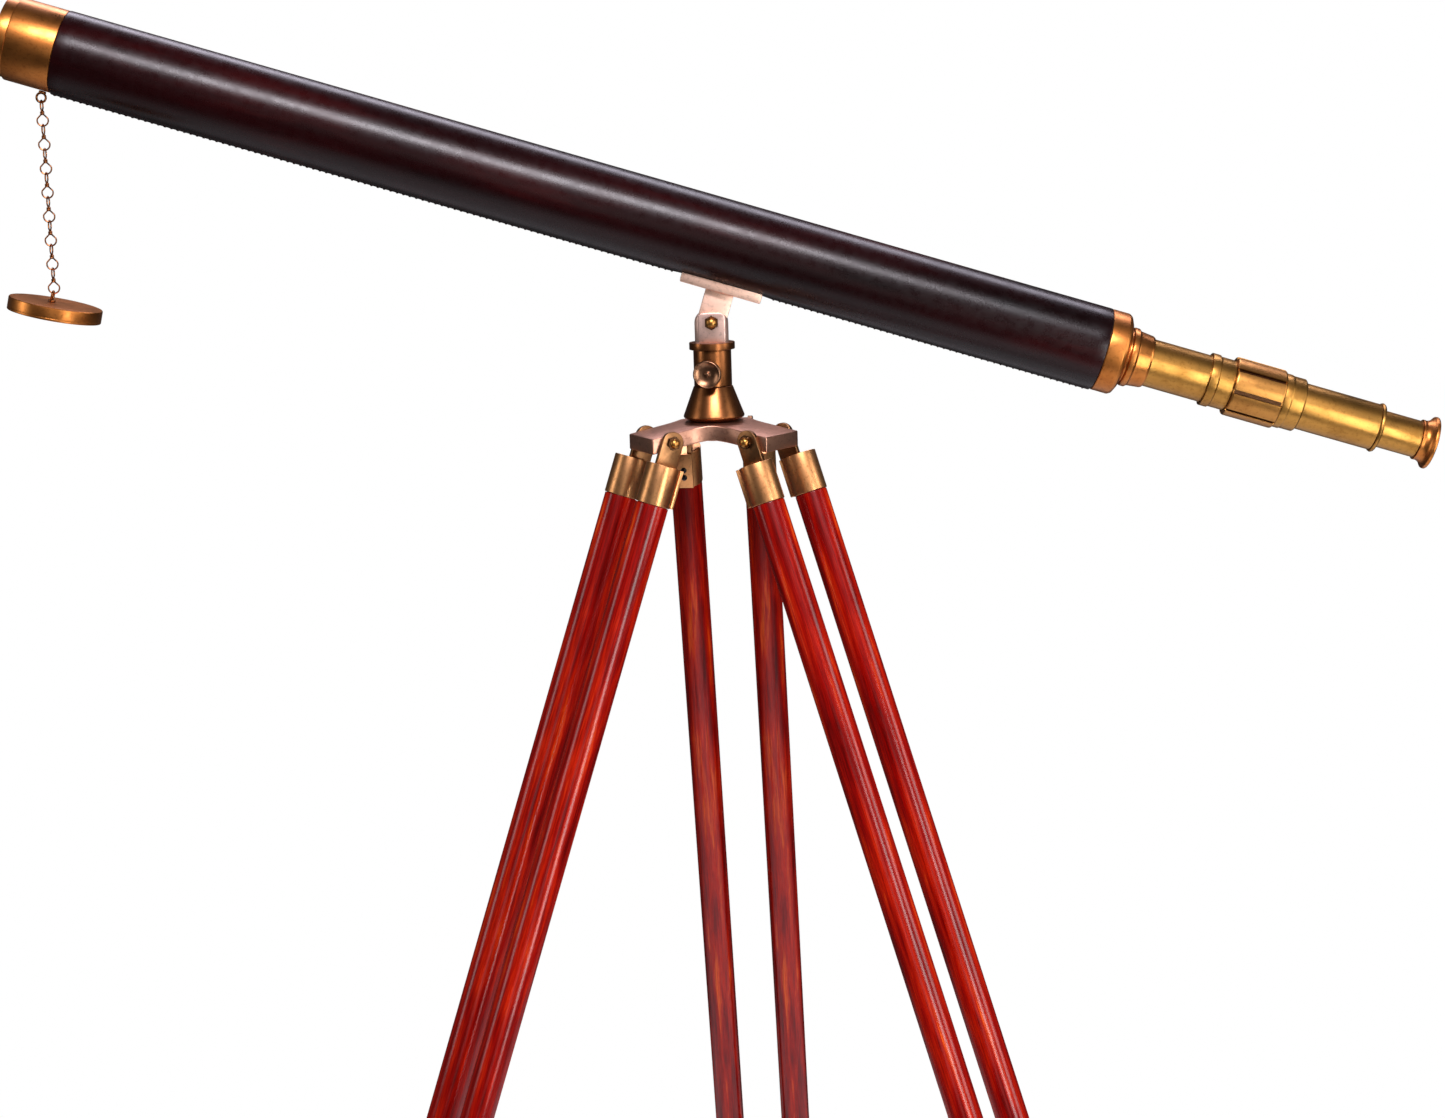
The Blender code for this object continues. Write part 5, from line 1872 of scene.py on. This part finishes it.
@dataclass(frozen=True)
class Softbox:
    """A large soft light that is aimed at a point."""

    name: str
    place: tuple[float, float, float]
    target: tuple[float, float, float]
    size: tuple[float, float]
    watts: float
    colour: Colour = (1.0, 1.0, 1.0)

    def build(self) -> None:
        """Hang the light."""
        data = bpy.data.lights.new(self.name, "AREA")
        data.shape = "RECTANGLE"
        data.size, data.size_y = self.size
        data.energy = self.watts
        data.color = self.colour
        lamp = bpy.data.objects.new(self.name, data)
        lamp.location = self.place
        aim = Vector(self.target) - Vector(self.place)
        lamp.rotation_euler = aim.to_track_quat("-Z", "Y").to_euler()
        bpy.context.scene.collection.objects.link(lamp)


@dataclass(frozen=True)
class Studio:
    """A pale floor, soft lights all round and the camera."""

    lens: float = 73.74
    place: tuple[float, float, float] = (-0.0042, -2.174, 1.610)
    pitch: float = 0.1685
    roll: float = 0.0303
    floor_radius: float = 1.9

    def build(self) -> None:
        """Build the studio."""
        self.floor()
        self.world()
        aim = (0.0, -0.1, 1.3)
        for box in (
            Softbox("key", (0.2, -2.4, 3.4), aim, (1.6, 0.6), 135.0, (0.97, 0.93, 1.0)),
            Softbox("front_window", (1.15, -1.9, 1.1), aim, (0.45, 1.6), 24.0),
            Softbox("front_fill", (-0.2, -3.5, 1.3), aim, (0.9, 1.3), 3.4),
            Softbox("right_fill", (2.6, -1.2, 1.9), aim, (0.9, 1.6), 26.0),
            Softbox("left_fill", (-2.6, -0.8, 2.0), aim, (0.7, 1.6), 14.0),
            Softbox("top_rim", (0.3, 1.3, 3.2), aim, (2.4, 0.7), 40.0, (0.90, 0.85, 1.0)),
        ):
            box.build()
        self.camera()
        bpy.context.scene.view_settings.view_transform = "Standard"

    def floor(self) -> None:
        """Lay a round pale floor whose edge fades away."""
        bm = bmesh.new()
        bmesh.ops.create_circle(bm, cap_ends=True, segments=96, radius=self.floor_radius)
        mesh = bpy.data.meshes.new("floor")
        bm.to_mesh(mesh)
        bm.free()
        floor = bpy.data.objects.new("floor", mesh)
        bpy.context.scene.collection.objects.link(floor)
        graph = Graph("pale_floor")
        place = graph.add("TexCoord").outputs["Object"]
        scaled = graph.add(
            "Mapping", {"Vector": place, "Scale": (1 / self.floor_radius,) * 3}
        ).outputs[0]
        near = graph.add("TexGradient", {"Vector": scaled}, gradient_type="SPHERICAL")
        fade = graph.add(
            "MapRange", {"Value": near.outputs["Fac"], "From Max": 0.45}
        ).outputs["Result"]
        cloud = graph.noise(place, 6, 3, 0.5)
        colour = graph.ramp(cloud, [(0.3, (0.84, 0.84, 0.84)), (0.7, (0.88, 0.88, 0.88))])
        graph.surface(Base_Color=colour, Roughness=0.8, Alpha=fade)
        mesh.materials.append(graph.material)

    def world(self) -> None:
        """Fill the room with even light, and show it as white."""
        world = bpy.data.worlds.new("studio_room")
        world.use_nodes = True
        tree = world.node_tree
        tree.nodes.clear()
        out = tree.nodes.new("ShaderNodeOutputWorld")
        mix = tree.nodes.new("ShaderNodeMixShader")
        path = tree.nodes.new("ShaderNodeLightPath")
        room = tree.nodes.new("ShaderNodeBackground")
        room.inputs["Color"].default_value = (0.95, 0.96, 1.0, 1.0)
        room.inputs["Strength"].default_value = 0.05
        seen = tree.nodes.new("ShaderNodeBackground")
        seen.inputs["Color"].default_value = (1, 1, 1, 1)
        seen.inputs["Strength"].default_value = 1.0
        tree.links.new(path.outputs["Is Camera Ray"], mix.inputs["Fac"])
        tree.links.new(room.outputs[0], mix.inputs[1])
        tree.links.new(seen.outputs[0], mix.inputs[2])
        tree.links.new(mix.outputs[0], out.inputs["Surface"])
        bpy.context.scene.world = world

    def camera(self) -> None:
        """Set the camera up in front, level with the tube and looking slightly down."""
        data = bpy.data.cameras.new("front_camera")
        data.sensor_fit = "HORIZONTAL"
        data.sensor_width = 36.0
        data.lens = self.lens
        data.clip_start = 0.05
        data.clip_end = 50.0
        right = Vector((1, 0, 0))
        forward = Vector((0, math.cos(self.pitch), -math.sin(self.pitch)))
        up = right.cross(forward)
        c, s = math.cos(self.roll), math.sin(self.roll)
        leaned = right * c - up * s
        risen = up * c + right * s
        matrix = Matrix((leaned, risen, -forward)).transposed().to_4x4()
        matrix.translation = Vector(self.place)
        camera = bpy.data.objects.new("front_camera", data)
        camera.matrix_world = matrix
        bpy.context.scene.collection.objects.link(camera)
        bpy.context.scene.camera = camera


def main() -> None:
    """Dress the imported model."""
    logging.basicConfig(level=logging.INFO, format="%(message)s")
    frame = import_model()
    shop = Workshop(frame)
    layout = Layout()
    Studio().build()
    for part in (
        StandHead(shop, layout),
        Saddle(shop, layout),
        MainTube(shop, layout),
        DrawTubes(shop, layout),
        ChainAndCap(shop, layout),
        *(Leg(shop, layout, letter, azimuth) for letter, azimuth in layout.azimuths),
    ):
        LOG.info("building %s", type(part).__name__)
        part.build()


if __name__ == "__main__":
    main()
